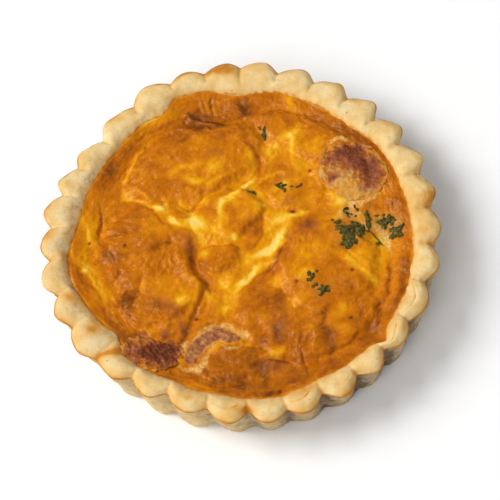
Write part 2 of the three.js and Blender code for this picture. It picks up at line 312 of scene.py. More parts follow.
def casePoint(zone, t, bearing):
    # radius and height of one point of the section, at each bearing
    corner, lipHeight = case["baseCorner"], case["lipHeight"]
    wallTop = lipHeight - 0.5
    if zone == "under":
        return t * (wallRadius(bearing, 0) - corner), 0 * bearing
    if zone == "corner":
        turn = math.pi / 2 * t
        radius = wallRadius(bearing, corner * t) - corner * (1 - math.sin(turn))
        return radius, 0 * bearing + corner * (1 - math.cos(turn))
    if zone == "wall":
        z = corner + t * (wallTop - corner)
        return wallRadius(bearing, z), 0 * bearing + z
    lipRadius = wallRadius(bearing, lipHeight)
    lipTop = rimTop(bearing, 1.0 + 0 * bearing)
    if zone == "lip":
        turn = math.pi * (0.62 * t - 0.5)
        bulge = case["lipOverhang"] * (math.cos(turn) ** 0.7 if t else 0)
        return lipRadius + bulge, wallTop + (lipTop - wallTop) * (0.5 + 0.5 * math.sin(turn)) * 1.05
    if zone == "top":
        return mouthRadius(bearing) + t * (lipRadius - mouthRadius(bearing)), rimTop(bearing, t + 0 * bearing)
    floorCorner = case["baseThickness"] + case["cavityCorner"]
    if zone == "inside":
        top = rimTop(bearing, 0 * bearing)
        z = top + t * (floorCorner - top)
        return insideRadius(bearing, z), z
    radius = t * (insideRadius(bearing, floorCorner) - case["cavityCorner"])
    return radius, 0 * bearing + case["baseThickness"]


def spinProfile(name, profile, steps):
    # one corner is extruded along the section, which is then spun round the middle
    bpy.ops.mesh.primitive_plane_add(size=mm)
    piece = bpy.context.object
    piece.name = name
    editAll()
    bpy.ops.mesh.merge(type="CENTER")
    bpy.ops.transform.translate(value=(profile[0][0] * mm, 0, profile[0][1] * mm))
    for (ra, za), (rb, zb) in zip(profile, profile[1:]):
        step = ((rb - ra) * mm, 0, (zb - za) * mm)
        bpy.ops.mesh.extrude_vertices_move(TRANSFORM_OT_translate={"value": step})
    bpy.ops.mesh.select_all(action="SELECT")
    bpy.ops.mesh.spin(steps=steps, angle=2 * math.pi, center=(0, 0, 0), axis=(0, 0, 1))
    bpy.ops.mesh.select_all(action="SELECT")
    bpy.ops.mesh.remove_doubles(threshold=0.01 * mm)
    bpy.ops.mesh.normals_make_consistent(inside=False)
    bpy.ops.object.mode_set(mode="OBJECT")
    return piece


def buildCrust():
    stations = caseStations()
    plainBearing = np.array([case["firstFlute"] + 1.2])
    plain = np.array([[float(v[0]) for v in casePoint(zone, t, plainBearing)] for zone, t in stations])
    piece = spinProfile("crust-baked", plain, case["around"])

    # each point finds its station on the plain section, then goes to its real place
    start = getPoints(piece) / mm
    bearing = np.degrees(np.arctan2(start[:, 0], start[:, 1]))
    startRadius = np.hypot(start[:, 0], start[:, 1])
    away = (startRadius[:, None] - plain[:, 0]) ** 2 + (start[:, 2][:, None] - plain[:, 1]) ** 2
    station = np.argmin(away, axis=1)
    radius = np.zeros(len(start))
    z = np.zeros(len(start))
    share = np.full(len(start), -1.0)
    for index, (zone, t) in enumerate(stations):
        here = station == index
        radius[here], z[here] = casePoint(zone, t, bearing[here])
        share[here] = {"top": t, "lip": 1.1 - 0.1 * t, "wall": 2, "corner": 2, "under": 3}.get(zone, -1)
    lean = np.clip(1 - z / case["lipHeight"], 0, 1) * (share >= 1)
    x = radius * np.sin(np.radians(bearing)) + lean * case["baseShift"][0]
    y = radius * np.cos(np.radians(bearing)) + lean * case["baseShift"][1]
    points = np.column_stack((x, y, z))

    # dough is never smooth: soft lumps, and pits on the wall
    showing = (share > -0.5) & (z > 0.01)
    outward = np.column_stack((np.sin(np.radians(bearing)), np.cos(np.radians(bearing)), 0 * z))
    onTop = ((share >= 0) & (share <= 1.0))[:, None]
    onWall = share > 1.5
    push = sum(by * lumpyNoise(points, size, seed) for seed, (by, size) in enumerate(case["doughLumps"], 1))
    push *= np.where(onWall, 1.7, 1)
    pits = -case["pitDepth"] * smoothStep(lumpyNoise(points * (1, 1, 1.8), 2.4, 4), 0.2, 0.5) * onWall
    direction = np.where(onTop, [0, 0, 1.0], outward)
    points += ((push + pits) * showing)[:, None] * direction
    points[:, 2] = np.maximum(points[:, 2], 0)
    setPoints(piece, points)

    paint(piece, "gold", crustGold(points, bearing, share))
    # dough turning grey on the wall; most of all in its grooves as painted shade, more on the front right as
    # painted shade and less at the front left as painted light; a tan band of painted shade inside the rim at
    # the left, and a little painted shade over the whole left side
    groove = 1 - fluteAt(bearing)
    fromShadedSide = angleFrom(bearing, 140)
    outsideGreyShadeAndLight = 0.42 + 0.45 * groove + 0.35 * hump(fromShadedSide, 45) - 0.35 * hump(fromShadedSide - 75, 30)
    inside = 0.75 * (1 - smoothStep(share, 0.15, 0.6)) * hump(angleFrom(bearing, 270), 60)
    leftShade = 0.2 * hump(angleFrom(bearing, 268), 36)
    greyShadeAndLight = smoothStep(share, 1.04, 1.08) * outsideGreyShadeAndLight + (inside + leftShade) * (share > -0.5)
    paint(piece, "wall", np.clip(greyShadeAndLight, 0, 1))
    # painted shade: the wall's grooves darkened on the front right, the side turned from the light
    creviceShade = smoothStep(share, 1.04, 1.1) * groove ** 0.7 * hump(fromShadedSide, 50)
    paint(piece, "creviceShade", creviceShade * (0.8 + 0.8 * lumpyNoise(points, 3, 12)))
    bpy.ops.object.shade_smooth()
    return piece


# how much each of these browns the dough
crustBrowning = {
    "lipLine": 1.15,
    "edgeLine": 0.9,        # the thinner line on the far side
    "folds": 1.1,
    "grooves": 0.2,
    "clouds": 0.22,
    "lipClouds": 0.32,
    "brownerSide": 0.12,
    "most": 0.78,
}

# where the dough has browned: x, y, half length, half width, turn, how much
goldPatches = [
    (2.5, 57, 6.5, 3.2, -5, 0.9), (-9, 59.6, 7, 1.3, 10, 1.0), (-16, 58, 3, 1.2, 20, 0.8),
    (-47.2, -23.5, 2.4, 2, 0, 1.0), (-53, -12, 3, 3, 60, 0.6), (57, 3, 3.5, 5, 0, 0.6),
    (55, -7, 3, 4, 0, 0.4), (-42.3, -32, 3.6, 1.3, 0, 0.9), (16, 55, 5, 2, -10, 0.3),
    (-57, 12, 3, 2.5, 0, 0.4), (-56, 4, 3, 3, 0, 0.2), (13, -53.5, 5, 1.6, 20, 0.6),
    (36, 49, 4, 2, -40, 0.35), (45, 39, 3, 3, -40, 0.25), (-47, 34, 3, 2, 40, 0.4),
    (-39, 43, 4, 1.6, 40, 0.3), (5, -56, 20, 4, 0, 0.12), (-56, 2, 4, 16, 0, 0.12),
    (-21, -51, 4, 1.4, -20, 0.4), (-8, -57, 4, 1.4, -8, 0.4), (41, -36, 2.5, 4, -30, 0.3),
    (-54, 22, 3, 3, 0, 0.3),
]


def crustGold(points, bearing, share):
    # how browned each place is: along the lip, in the grooves and folds, and in clouds, with a band of
    # painted shade down the rim's inner slope
    flute = fluteAt(bearing)
    u = leaning(bearing)
    x, y = points[:, 0], points[:, 1]
    cloud = 0.5 + 0.6 * lumpyNoise(points, 6, 5) + 0.3 * lumpyNoise(points, 2.5, 7)
    top = (share >= 0) & (share <= 1.001)
    front = smoothStep(nearSide(bearing), 0.1, 0.5)
    lipLine = hump(share - 1.03, 0.032) * (0.15 + 0.85 * front) * (1.1 + 0.7 * lumpyNoise(points, 3.5, 6))
    edgeLine = hump(share - 1.01, 0.022) * (1 - front) * smoothStep(lumpyNoise(points, 6, 8), -0.35, 0.2)
    broken = smoothStep(lumpyNoise(points, 2.2, 10), -0.35, 0.25)
    arcLine = hump(share - foldShare(bearing), 0.035) * flute * top * broken
    arcLine *= 2 * lobeValue("arcDepth", bearing) * foldSide(bearing)
    creaseLine = hump((0.5 - np.abs(u)) * case["fluteWidth"], 0.6)
    creaseLine *= smoothStep(share, 0.4, 0.9) * (share <= 1.1)
    gold = crustBrowning["lipLine"] * lipLine + crustBrowning["edgeLine"] * edgeLine
    gold += crustBrowning["folds"] * arcLine + crustBrowning["grooves"] * creaseLine * (0.4 + 0.6 * front)
    # browned crumbs along the custard's edge, and a broader band of painted shade down the rim's inner slope
    fringeAndShade = hump(share, 0.07) * (0.3 + 0.5 * lumpyNoise(points, 1.6, 9)) + 0.16 * hump(share, 0.3)
    onRim = top | (share > 1) & (share < 1.2)
    clouds = crustBrowning["clouds"] + crustBrowning["lipClouds"] * smoothStep(share, 0.55, 1)
    gold += (clouds * cloud + fringeAndShade) * onRim
    paleSide = np.maximum(hump(angleFrom(bearing, 48), 42), hump(angleFrom(bearing, 322), 30))
    gold += crustBrowning["brownerSide"] * (1 - paleSide) * cloud * (share > -0.5) * (share <= 1.1)
    gold += marksAt(x + cloud, y - cloud, goldPatches) * (share <= 1.1) * (0.35 + 0.5 * cloud)
    return np.clip(gold, 0, crustBrowning["most"])


deselectAll()
crust = buildCrust()
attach(crust, "root")
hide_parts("crust")
print("crust built,", len(crust.data.polygons), "faces")


# the custard

custard = {
    "cells": 290,            # squares each way over the top
    "level": 16.9,
    "edgeBandRise": 1.8,
    "edgeBandWidth": 8,
    "wobble": (1.1, 9.5),
    "patchFade": (-2, 4),    # the puffs come up over this distance from the pastry
    "raggedness": 1.5,
    "tuck": 0.9,             # how far its edge goes into the pastry
    # x, y, half length, half width, turn, height
    "puffs": [
        (-11, 28.5, 22, 13.5, 8, 2.2), (-27, 2, 15, 18, -12, 2.1), (-27, -14, 14, 10, 10, 1.9),
        (23, -14, 16, 19, -20, 2.4), (-3, 7.5, 12.5, 9, 15, 1.7), (-8, -6.5, 6.5, 5, 0, 1.7),
        (18, -33, 20, 10, 15, 1.9), (-8, -41, 14, 6, -8, 1.3), (24, 33, 17, 8, -30, 1.5),
        (20, 13, 9, 6, 10, 0.8), (1, -26, 12, 7, 20, 1.1),
    ],
    # route, width, depth: sharp folds in the skin
    "folds": [
        ([(-40.7, 18.6), (-41.6, 11.5), (-42.8, 8), (-41.8, 4.8), (-39.4, 1.8), (-38.4, -1.6)], 0.7, 0.5),
        ([(43.6, -13), (42.3, -18.5), (41.4, -22), (40.4, -26), (38, -28.5), (36, -31),
          (35.8, -35.6)], 0.8, 0.5),
        ([(-27, 38), (-24, 40.5), (-20, 41.5), (-15, 43.2), (-10, 44.5)], 0.6, 0.5),
        ([(-11, 46), (-8.5, 44.5), (-6, 42.8), (-3, 41), (1, 40), (3, 39.6)], 0.6, 0.22),
        ([(-10.5, 43.6), (-8.5, 41.8), (-6, 40.2), (-3, 39), (1, 38.8)], 0.5, 0.25),
        ([(-13.5, 44.6), (-11.5, 43.2), (-10, 41), (-7.5, 39.2), (-5, 38.2)], 0.5, 0.35),
        ([(-7.5, 46.5), (-5, 45.6), (-3, 44), (0, 43.4)], 0.5, 0.35),
        ([(-2, 50), (-2.4, 46.5), (-2, 44)], 0.5, 0.5), ([(-1, 45.8), (3, 47), (7, 46), (9, 42)], 0.8, 0.3),
        ([(5, 40), (6, 34), (8, 30), (9.5, 25), (9, 21), (6.5, 18.5)], 0.8, 0.6),
        ([(-50.5, 0), (-48.5, -6), (-46, -10), (-44.5, -15), (-42.5, -20), (-38, -26)], 1.0, 0.35),
        ([(-30.5, -7), (-33, -12), (-35.5, -16), (-39, -17.5)], 1.1, 0.3),
        ([(-13, -14), (-16, -19), (-18.2, -23.5), (-20.5, -27.5), (-23, -34)], 0.9, 0.62),
        ([(-15, 3), (-15.2, -2), (-14.6, -7), (-13.6, -11), (-11.2, -16.5)], 1.3, 0.45),
        ([(22, -28), (20, -31), (19.5, -34), (20.6, -37), (20.4, -41), (19.8, -46)], 1.6, 0.2),
        ([(-3, -42), (1, -40.6), (5, -41), (9, -43)], 0.8, 1.0),
        ([(4.5, -30), (6, -33), (5, -37)], 1.0, 0.5), ([(12, -39), (12, -44), (13, -49)], 0.7, 0.5),
        ([(-21, -29), (-24, -34), (-26.5, -40)], 0.8, 0.5), ([(-22, 5), (-20.5, 1), (-21.5, -4)], 0.6, 0.4),
        ([(26, 38), (31, 34), (36, 29.5)], 0.7, 0.4), ([(7, 9), (8, 5), (6, 2)], 0.7, 0.4),
        ([(13, -4), (11, -8.5), (6, -12), (1, -15)], 0.8, 0.35),
        ([(26, -8), (30, -10), (33, -14)], 0.7, 0.35),
    ],
    # route, width, height: raised folds
    "ridges": [
        ([(-10, 44.6), (-7, 42.8), (-4.5, 41.2), (-2, 40)], 0.4, 0.5),
        ([(-12, 45.6), (-9.4, 45.2), (-7, 46.4)], 0.35, 0.35),
        ([(-7, 44.4), (-4.6, 43.4), (-2.6, 41.8)], 0.35, 0.35),
        ([(-14.6, 41.8), (-12, 40.4), (-9.4, 38.6), (-6, 37.8)], 0.4, 0.35),
        ([(1.4, 45.4), (4, 45.8), (6.4, 44.8)], 0.4, 0.3),
        ([(-9.8, 42.2), (-7.5, 40.8), (-5, 39.6), (-3, 38.2)], 0.4, 0.4),
        ([(-13.5, 43.4), (-11, 44.6), (-9, 46), (-6.4, 47.2)], 0.5, 0.4),
        ([(-1, 42.8), (2, 44), (5.5, 43.6), (8, 41), (11, 39)], 0.5, 0.5),
        ([(-3, 38.4), (0, 38.6), (3, 37.6)], 0.5, 0.4), ([(-5.5, 49.5), (-5, 47), (-4.2, 45.2)], 0.5, 0.4),
        ([(-20.5, 1), (-19.3, -4.5), (-17.8, -9), (-15, -14)], 1.4, 0.7),
        ([(-33.5, 24), (-31, 28), (-28, 33), (-24.5, 38)], 0.9, 0.4),
        ([(-31, 24), (-28, 21), (-25.5, 17.5), (-22, 13)], 1.2, 0.45),
        ([(-13, -24.8), (-6, -24), (1, -25)], 1.2, 0.35), ([(7, -35), (14, -33.5), (19, -35)], 1.2, 0.4),
        ([(8, 17.5), (10, 19.5), (14, 20.5), (20, 20)], 0.8, 0.5),
        ([(-12, 37.5), (-5, 37), (1, 36)], 1.1, 0.4), ([(-44.5, 17), (-45, 11), (-44, 5)], 1.3, 0.4),
        ([(-42, -8), (-41, -14), (-37, -21)], 1.2, 0.4), ([(16, -24), (22, -25), (28, -23)], 1.2, 0.3),
        ([(-30, -4), (-26, -8), (-24, -13)], 1.2, 0.3), ([(41, 5), (45, 5), (50, 2)], 0.9, 0.35),
        ([(-26, 30), (-18, 34), (-9, 33)], 1.5, 0.3), ([(0, -31), (-6, -33.5), (-11, -36)], 1.0, 0.3),
        ([(32, -30), (35, -24), (38, -20)], 1.0, 0.3),
    ],
}

# where the skin is browner (+) or yellower (-): x, y, half length, half width, turn, how much
toastMarks = [
    # broad clouds
    (-40, 4, 14, 20, 0, 0.1), (-4, -43, 26, 10, 0, 0.15), (-32, -27, 14, 12, 0, 0.13),
    (30, -32, 15, 13, 0, 0.1), (-22, 26, 14, 10, 0, 0.03), (2, 2, 13, 12, 0, -0.06),
    (-35, 25, 3, 6, 20, 0.12), (-3, 44, 6, 2, -15, 0.22), (10, 42.5, 9, 3, 0, 0.14),
    (-11, -16, 3, 5.5, 20, 0.12), (1.5, -33, 2.6, 3.6, 0, 0.2), (2, -21, 5, 5, 0, 0.1),
    (-15, -22.5, 4, 2, 0, 0.14), (-38.5, -15, 2, 5, -10, 0.15), (-44, -27, 2.4, 6, 35, 0.14),
    (-27, -28, 3, 2, 0, 0.18), (42, 4.6, 4, 1.4, -15, 0.2), (38, 28, 4, 1.2, -30, 0.12),
    (33.5, -37, 2.6, 1.2, -30, 0.2), (8, -13, 1.6, 1.6, 0, 0.14), (-16, 46, 4, 3, 20, -0.2),
    (7, 27, 2.2, 6, 0, -0.22), (16, 36, 2.6, 2, 0, -0.15), (33, 35, 3.4, 2, -40, -0.22),
    (-9, 15.5, 3, 2, 20, -0.24), (-18, 14, 5, 2, 0, -0.15), (5.4, 9.6, 3.6, 3.2, 0, -0.28),
    (16, 16, 5, 1.6, 5, -0.22), (6, 15, 4, 1.4, 0, -0.18), (-17, 5, 2.4, 4, 0, -0.2),
    (-3.4, -5.4, 2.2, 2.2, 0, -0.28), (-8, -4.5, 3, 2, 0, -0.14), (24, -11, 4, 2.4, -10, -0.2),
    (15, -15, 2.8, 2.8, 0, -0.2), (25, 2, 4, 1.4, 0, -0.15), (37, -15, 2.2, 4.4, -10, -0.28),
    (-34, -6, 2.6, 3, 0, -0.2), (-46, -10.5, 2.4, 5.5, 20, -0.26), (-21.5, -18, 3.6, 1.6, 0, -0.26),
    (-26, -24, 1.6, 1.4, 0, -0.2), (-40.5, -24, 3, 2.2, 40, -0.24), (34, -29, 2.4, 3.4, 0, -0.16),
    (27, -36.5, 2.4, 2, 0, -0.14), (-8, -46, 3, 4, 0, -0.1), (4, -40.6, 4, 1.2, 0, -0.18),
    (-42.6, 9, 1.2, 4, 0, -0.2), (-48, 6, 1.8, 12, -5, -0.1),
    # and finer ones over them
    (18, -16, 1.8, 1.8, 0, -0.18), (22, -21.5, 2.5, 1.5, 0, -0.12), (-25.4, -37, 1.6, 2, 0, -0.3),
    (14.5, 15.5, 2, 1.5, 0, -0.2), (-37.4, -24.6, 1.8, 1.6, 0, -0.2), (-28, 31.6, 1.6, 1.4, 0, -0.16),
    (-34, 39, 5, 2, 45, -0.14), (13.6, 26.6, 2, 2, 0, -0.12), (40.4, -6, 1.4, 2.4, 0, 0.16),
    (0.6, -35, 1.6, 2.2, 0, 0.16), (22.6, -28.4, 2.2, 1.2, 30, 0.12), (34, -37, 3.4, 1.6, 40, 0.14),
    (26, -44.6, 5, 1.6, 30, 0.14), (6, -49, 3, 1.6, 0, 0.12), (47.6, -20, 1.2, 4, 20, 0.14),
    (-24.4, 15.6, 1.4, 1.4, 0, 0.14), (-33, -32, 4, 2, 0, -0.1), (-12, -9, 1.6, 3, 0, 0.1),
    (-39, -8, 2, 3, 0, 0.06), (12, 41, 3, 1.6, 0, 0.08), (-37.5, -33.8, 2.8, 1.7, -45, 0.6),
    (48.5, -1, 2, 3, 0, 0.1), (47.5, -17, 1.4, 4, 0, 0.15), (8, -6, 3, 6, -40, 0.1),
    (-21, -9, 2.4, 4, 0, 0.1), (25, 11, 4, 6, 0, 0.05), (38, -25, 2, 3, 0, 0.1),
    (-31.5, -38.6, 1.6, 1, -20, 0.3), (6, -5, 5, 5, 0, 0.05), (-30, 30, 5, 8, -30, 0.05),
    (-36, 18, 4, 4, 0, 0.06), (-4, 42.5, 6, 2, 0, 0.06), (-10, 14.5, 9, 3, -10, -0.1),
    (-22.5, 8, 3, 4, 0, -0.1), (3.5, 28, 4, 9, 0, -0.08), (-5, -1, 3, 4, 0, -0.08),
    (-12, -27.6, 5, 1.2, 0, 0.12), (-20, -40.4, 3, 1.2, 0, 0.12), (-34.3, -26.8, 1.5, 1.2, 0, 0.45),
    (-27, -27.6, 1.3, 1, 0, 0.4), (-31, -25.4, 2, 1.2, 0, -0.15), (-35, 26, 4, 2, 20, 0.1),
    (-33, 15, 5, 3, 0, 0.08), (-14, 34, 5, 5, 0, 0.08), (-13, 28.5, 3, 1, 0, 0.12),
    (-13.5, 14.5, 2.4, 1.4, 0, 0.18), (2.5, 45.5, 2.4, 2, 0, 0.18), (-4, 43, 4, 2, 0, 0.08),
    (-11, 50, 3, 2, 0, 0.14), (4.6, 19, 2, 1.6, 0, 0.18), (14, 26, 5, 4, -30, 0.1),
    (10, 37, 1.4, 4, 0, 0.14), (16, 43, 5, 4, 0, 0.08), (28, 35, 2, 2, 0, 0.12), (36, 25.8, 5, 1, 0, 0.16),
    (42, 24, 1.6, 3, 30, 0.15), (13.5, 4, 4, 1.2, 25, 0.14), (17.5, 7.5, 1.2, 1.2, 0, 0.16),
    (43, 3.6, 5, 2, -25, 0.18), (43, -17.6, 1.6, 1.4, 0, 0.18), (1, -7, 1.6, 1.4, 0, 0.22),
    (9, -13, 1.8, 1.6, 0, 0.14), (8, -26.5, 4, 3, 20, 0.12), (3, -18.5, 2, 3, 0, 0.1),
    (17, -21, 5, 2, 10, 0.08), (-12, 3.4, 1.4, 2.4, 0, 0.22), (-7.5, 8, 2, 3, 0, 0.12),
    (-24, 2, 1.4, 1.4, 0, 0.14), (-42.6, 3, 1.4, 4, 0, 0.12), (-46.4, -4, 1.8, 1.4, 0, 0.2),
    (-37, 0, 5, 2, -20, 0.08), (-46, 11, 1, 4, 0, 0.14), (-38, -18, 1.8, 6, -10, 0.14),
    (-35.5, -25, 2.4, 3, -20, 0.14), (-19.6, -5, 1.8, 4, 10, 0.1), (-13, -8, 1.4, 4, 10, 0.12),
    (-16, -23, 1.6, 3, 0, 0.12), (-13, -27, 3, 2, 0, 0.12), (-46, -22, 1.4, 3, 30, 0.16),
    (-24.5, -31, 1.2, 3, 0, 0.18), (-21, -42.4, 3.4, 1.6, -20, 0.12), (0, -47.5, 1.8, 2.4, 0, 0.24),
    (8, -48, 4, 2.4, 0, 0.18), (-32, 39.5, 4.5, 3, 45, -0.24), (-17, 44.6, 4, 1.4, 15, -0.14),
    (-41, 20, 1.4, 2, 0, -0.24), (28, 24, 2, 3, 0, -0.2), (18, 17, 4, 1, 10, -0.14),
    (7.6, 9.4, 1.4, 2.6, 0, -0.2), (-3.4, 9, 1, 4, 0, -0.18), (-17, 11.6, 4, 1, 0, -0.15),
    (-24.6, 13.4, 1.6, 1.6, 0, -0.24), (-14.5, 23.4, 3, 1.2, -10, -0.15), (-10, 25.6, 1.8, 1.4, 0, -0.18),
    (-16.4, 3, 1.2, 4, 0, -0.15), (23, -1, 2.4, 2, 0, -0.15), (18.4, -15, 1.6, 1.6, 0, -0.22),
    (19.6, -28, 1.4, 1.2, 0, -0.14), (22.5, -33, 3, 2, -20, -0.1), (31, -36.4, 3, 1, 35, -0.18),
    (-15, -13, 1.2, 3.4, -20, -0.18), (-16.4, -18, 1.2, 1.6, 30, -0.18), (-21.6, -19.6, 2.2, 1, 0, -0.18),
    (-45, -13, 2, 2.4, 0, -0.12), (-42.6, -25.4, 1.2, 1.6, 30, -0.18), (0, -40.6, 2, 1.2, 0, -0.22),
    # back left
    (-36, 32, 9, 3, 52, 0.2), (-8, 43, 7, 3, -18, 0.3), (-11, 40, 5, 4, 0, 0.12),
    (-32.5, 28.5, 5, 2, 60, -0.08), (-22, 44.4, 4, 1.4, 25, -0.26), (-33, 21, 1.8, 1.4, 0, -0.26),
    (-22.8, 14, 2.2, 1.8, -30, -0.55), (-19.8, 9.2, 1.4, 2.2, 0, -0.3), (-12, 21.5, 4, 1.3, -15, -0.4),
    (-13, 27, 5, 2, 10, -0.3), (-4, 25.4, 3, 2.6, 0, -0.34), (-8.5, 35, 3, 2, 0, -0.2),
    (-19, 30, 3, 1.6, -40, -0.12), (-17, 25.4, 1.6, 1.4, 0, -0.2), (-17.5, 22.5, 3.4, 2, 0, 0.12),
    (-14, 38, 2, 3.5, 20, 0.2), (-6, 48, 3, 2, 0, 0.1), (-10, 50.5, 4, 1, 8, -0.1),
    (-28, 28, 5, 4, 60, 0.02),
    # left
    (-45, 10, 2.2, 8, -8, -0.26), (-51, 2, 1.5, 5, 0, -0.14), (-41.5, 0, 3, 3, 0, 0.1),
    (-47.5, -1.5, 1.6, 3.4, 30, -0.3), (-45, -7, 1.8, 4, 20, -0.24), (-51, -3.5, 2, 3.4, 10, 0.1),
    (-47.5, -10, 1.4, 5, 25, 0.1), (-37, -13.5, 3.4, 3, 20, 0.14), (-36, -5, 4, 3, 0, 0.1),
    (-26, 8.5, 3, 2.4, 0, -0.16), (-31, 10, 5, 4, -40, 0.08), (-25.5, 1.2, 3, 1.3, 10, 0.22),
    (-28, -12, 4, 3, 0, -0.12), (-23, -12.5, 5, 3.4, 30, -0.24), (-20, -17, 2.6, 1.8, 30, -0.26),
    (-32, -16, 3, 3, 0, 0.06), (-39.5, -19.5, 2, 3, 30, -0.12), (-30, -22, 5, 2.4, 0, -0.08),
    (-40, -25, 2, 3, 30, 0.16), (-33, -37.8, 4, 1.1, -38, -0.3),
    # the bulge in the middle and the yellow round it
    (-12.3, 7.2, 2.4, 2.6, 0, -0.7), (-14.5, 9, 2, 1.6, 40, -0.3), (-12.5, 2.5, 2, 2.6, 0, -0.34),
    (-12.2, -3.2, 1.6, 1.8, 0, -0.5), (-8, 3.4, 2.4, 3, 20, -0.35), (-4.8, 10.5, 1.1, 3.4, -10, -0.4),
    (-2, 13.6, 3.5, 1.2, 20, -0.35), (-2.2, 0.6, 2.2, 0.9, 10, -0.5), (-6.5, 7, 2.5, 2, 0, -0.2),
    (-1.5, 9, 2.4, 2.6, 0, 0.16), (1.8, 7, 2, 1.6, 0, -0.1), (4.4, 4.4, 2.6, 3.2, -15, 0.26),
    (3.8, 1.4, 2, 2.6, 0, 0.3), (1.4, -2.4, 2.2, 1.4, 0, 0.24), (4.4, 11.6, 2.4, 2, 0, -0.04),
    (5.5, 18.8, 2, 1.4, 0, -0.16), (-15.2, -2, 1.9, 6, 4, 0.26), (-18, 4, 2.6, 2, 0, 0.2),
    (-6, -4.6, 4, 3, 0, 0.2), (-3.4, -5, 1.2, 3.4, 0, 0.24),
    # the yellow valley
    (7.5, -0.5, 2.4, 4.6, -30, -0.2), (11.5, 4.6, 3.6, 1.5, 30, -0.32), (10.5, -2.6, 4, 1.5, 55, -0.5),
    (6, -6, 4.6, 1.3, 20, -0.48), (0, -8, 2.4, 3, 0, -0.24), (6, -9.5, 3.4, 1.3, 20, -0.3),
    (1.8, -11.6, 2.6, 1, 40, -0.5), (-2, -14.8, 3, 1.7, 40, -0.5), (-7, -14, 2.6, 2.4, 30, -0.22),
    (-6, -18.6, 4, 2, 40, -0.26), (-8.2, -22.4, 2, 1.6, 0, -0.36), (-12, -17, 2.4, 1.4, -60, -0.24),
    (-4.2, -11, 1.6, 1.8, 0, 0.02), (-11.5, -22, 2, 2, 0, -0.12),
    # right of the middle
    (19.4, 0.6, 3, 3.4, 20, 0.36), (22, 3, 3, 1.6, 20, 0.14), (11.8, -7, 1.8, 3, -30, 0.26),
    (3, -15.4, 4.6, 1.8, 35, 0.26), (22.5, -6.8, 5.5, 3, -20, -0.2), (17.8, -10, 1.6, 3, 30, -0.26),
    (31.5, -12.6, 4, 2, -30, -0.34), (8, -16.6, 2.4, 1.6, 0, -0.3), (12.4, -24, 2.6, 1.6, 20, -0.3),
    (16, -22, 3, 2, 0, -0.08), (7.8, -22, 1.8, 2.6, 0, 0.3), (3, -20, 2.4, 1.6, 0, 0.1),
    (25, -13, 4, 2, 0, 0.12), (27, -21, 5, 3.4, 20, 0.04), (41.6, -8.4, 1.8, 3.6, 20, -0.34),
    (36, -8, 4, 2.6, -30, -0.16),
    # front
    (5.5, -29.6, 2.6, 2, 0, 0.16), (6.2, -33.6, 1.6, 3, 0, 0.24), (4.2, -39.4, 2.4, 1.5, 20, -0.4),
    (2, -27, 1.2, 2.4, 0, -0.12), (0, -44, 2.4, 2.8, 0, 0.26), (9, -44.5, 3, 2.4, 0, 0.14),
    (12, -42, 1.6, 5, 0, 0.16), (20, -37, 2.4, 7, 3, 0.06), (25, -30.6, 4, 2, 25, -0.2),
    (23.4, -34.6, 3.4, 1.3, -35, -0.14), (26, -28.2, 1.4, 1.6, 0, -0.3), (33, -34, 7, 4, 30, 0.06),
    (17, -45, 3, 3, 0, 0.06), (28, -44.6, 5, 1.2, 28, -0.1), (38.6, -39, 1.4, 2.4, 0, -0.2),
    (-21.4, -26.4, 1.8, 3, 10, 0.34), (-24, -33, 1, 4, 15, 0.14), (-13.8, -34.6, 2, 1.6, 0, -0.2),
    (-10, -38.5, 5, 2, 0, 0.1), (-8, -45, 10, 3.5, -8, 0.16), (-20, -46, 5, 1.2, -30, -0.14),
    (-7.4, -47.6, 2, 1.6, 0, 0.2), (0.4, -52.4, 2, 0.9, 0, 0.34), (-2.6, -40, 1.6, 2, 0, 0.16),
    (30, -38, 4, 3, 20, 0.06),
    # right and back right
    (20, 31.8, 2.6, 3, 20, -0.42), (15.6, 30.6, 3.4, 1.4, 25, -0.34), (12.6, 27.6, 1.4, 2, 0, -0.26),
    (17.6, 28.4, 3.4, 2.6, 20, -0.12), (25.6, 27.4, 3, 2, 30, -0.3), (22.4, 33.8, 2, 1.6, 0, -0.24),
    (15.6, 22.2, 4.6, 1.8, -5, 0.16), (11.6, 17.4, 3.6, 1.6, 10, 0.18), (22, 21, 3, 2.4, 0, -0.26),
    (21.8, 41.6, 1.3, 3.4, 0, -0.26), (17, 4.8, 4, 0.9, 10, -0.5), (11.4, 11, 3, 3, 0, -0.12),
    (16.8, 9.4, 2.2, 2, 0, 0.02), (16.7, 6.2, 0.8, 0.7, 0, 0.5), (31.8, 7.6, 2.6, 1.8, 0, -0.5),
    (8, 44, 2.4, 3, 0, 0.26), (20.4, 36.6, 2, 1.8, 0, 0.16), (32, 34, 7, 2.6, -40, 0.12),
    (41, 27.6, 6, 2.2, -50, 0.2), (47, 12, 1.6, 5, 0, 0.1), (40, 3, 4, 1.3, 0, 0.2),
    (43.6, 4.2, 2.4, 1, -20, -0.3), (4, 29, 3, 4, 0, 0.04), (24, 5, 2.4, 2, 0, 0.12),
    (27, 14, 4, 3, 0, -0.12), (29, 1.6, 1.2, 3, 30, -0.1), (24, 10.4, 4, 1.6, 0, -0.08),
]

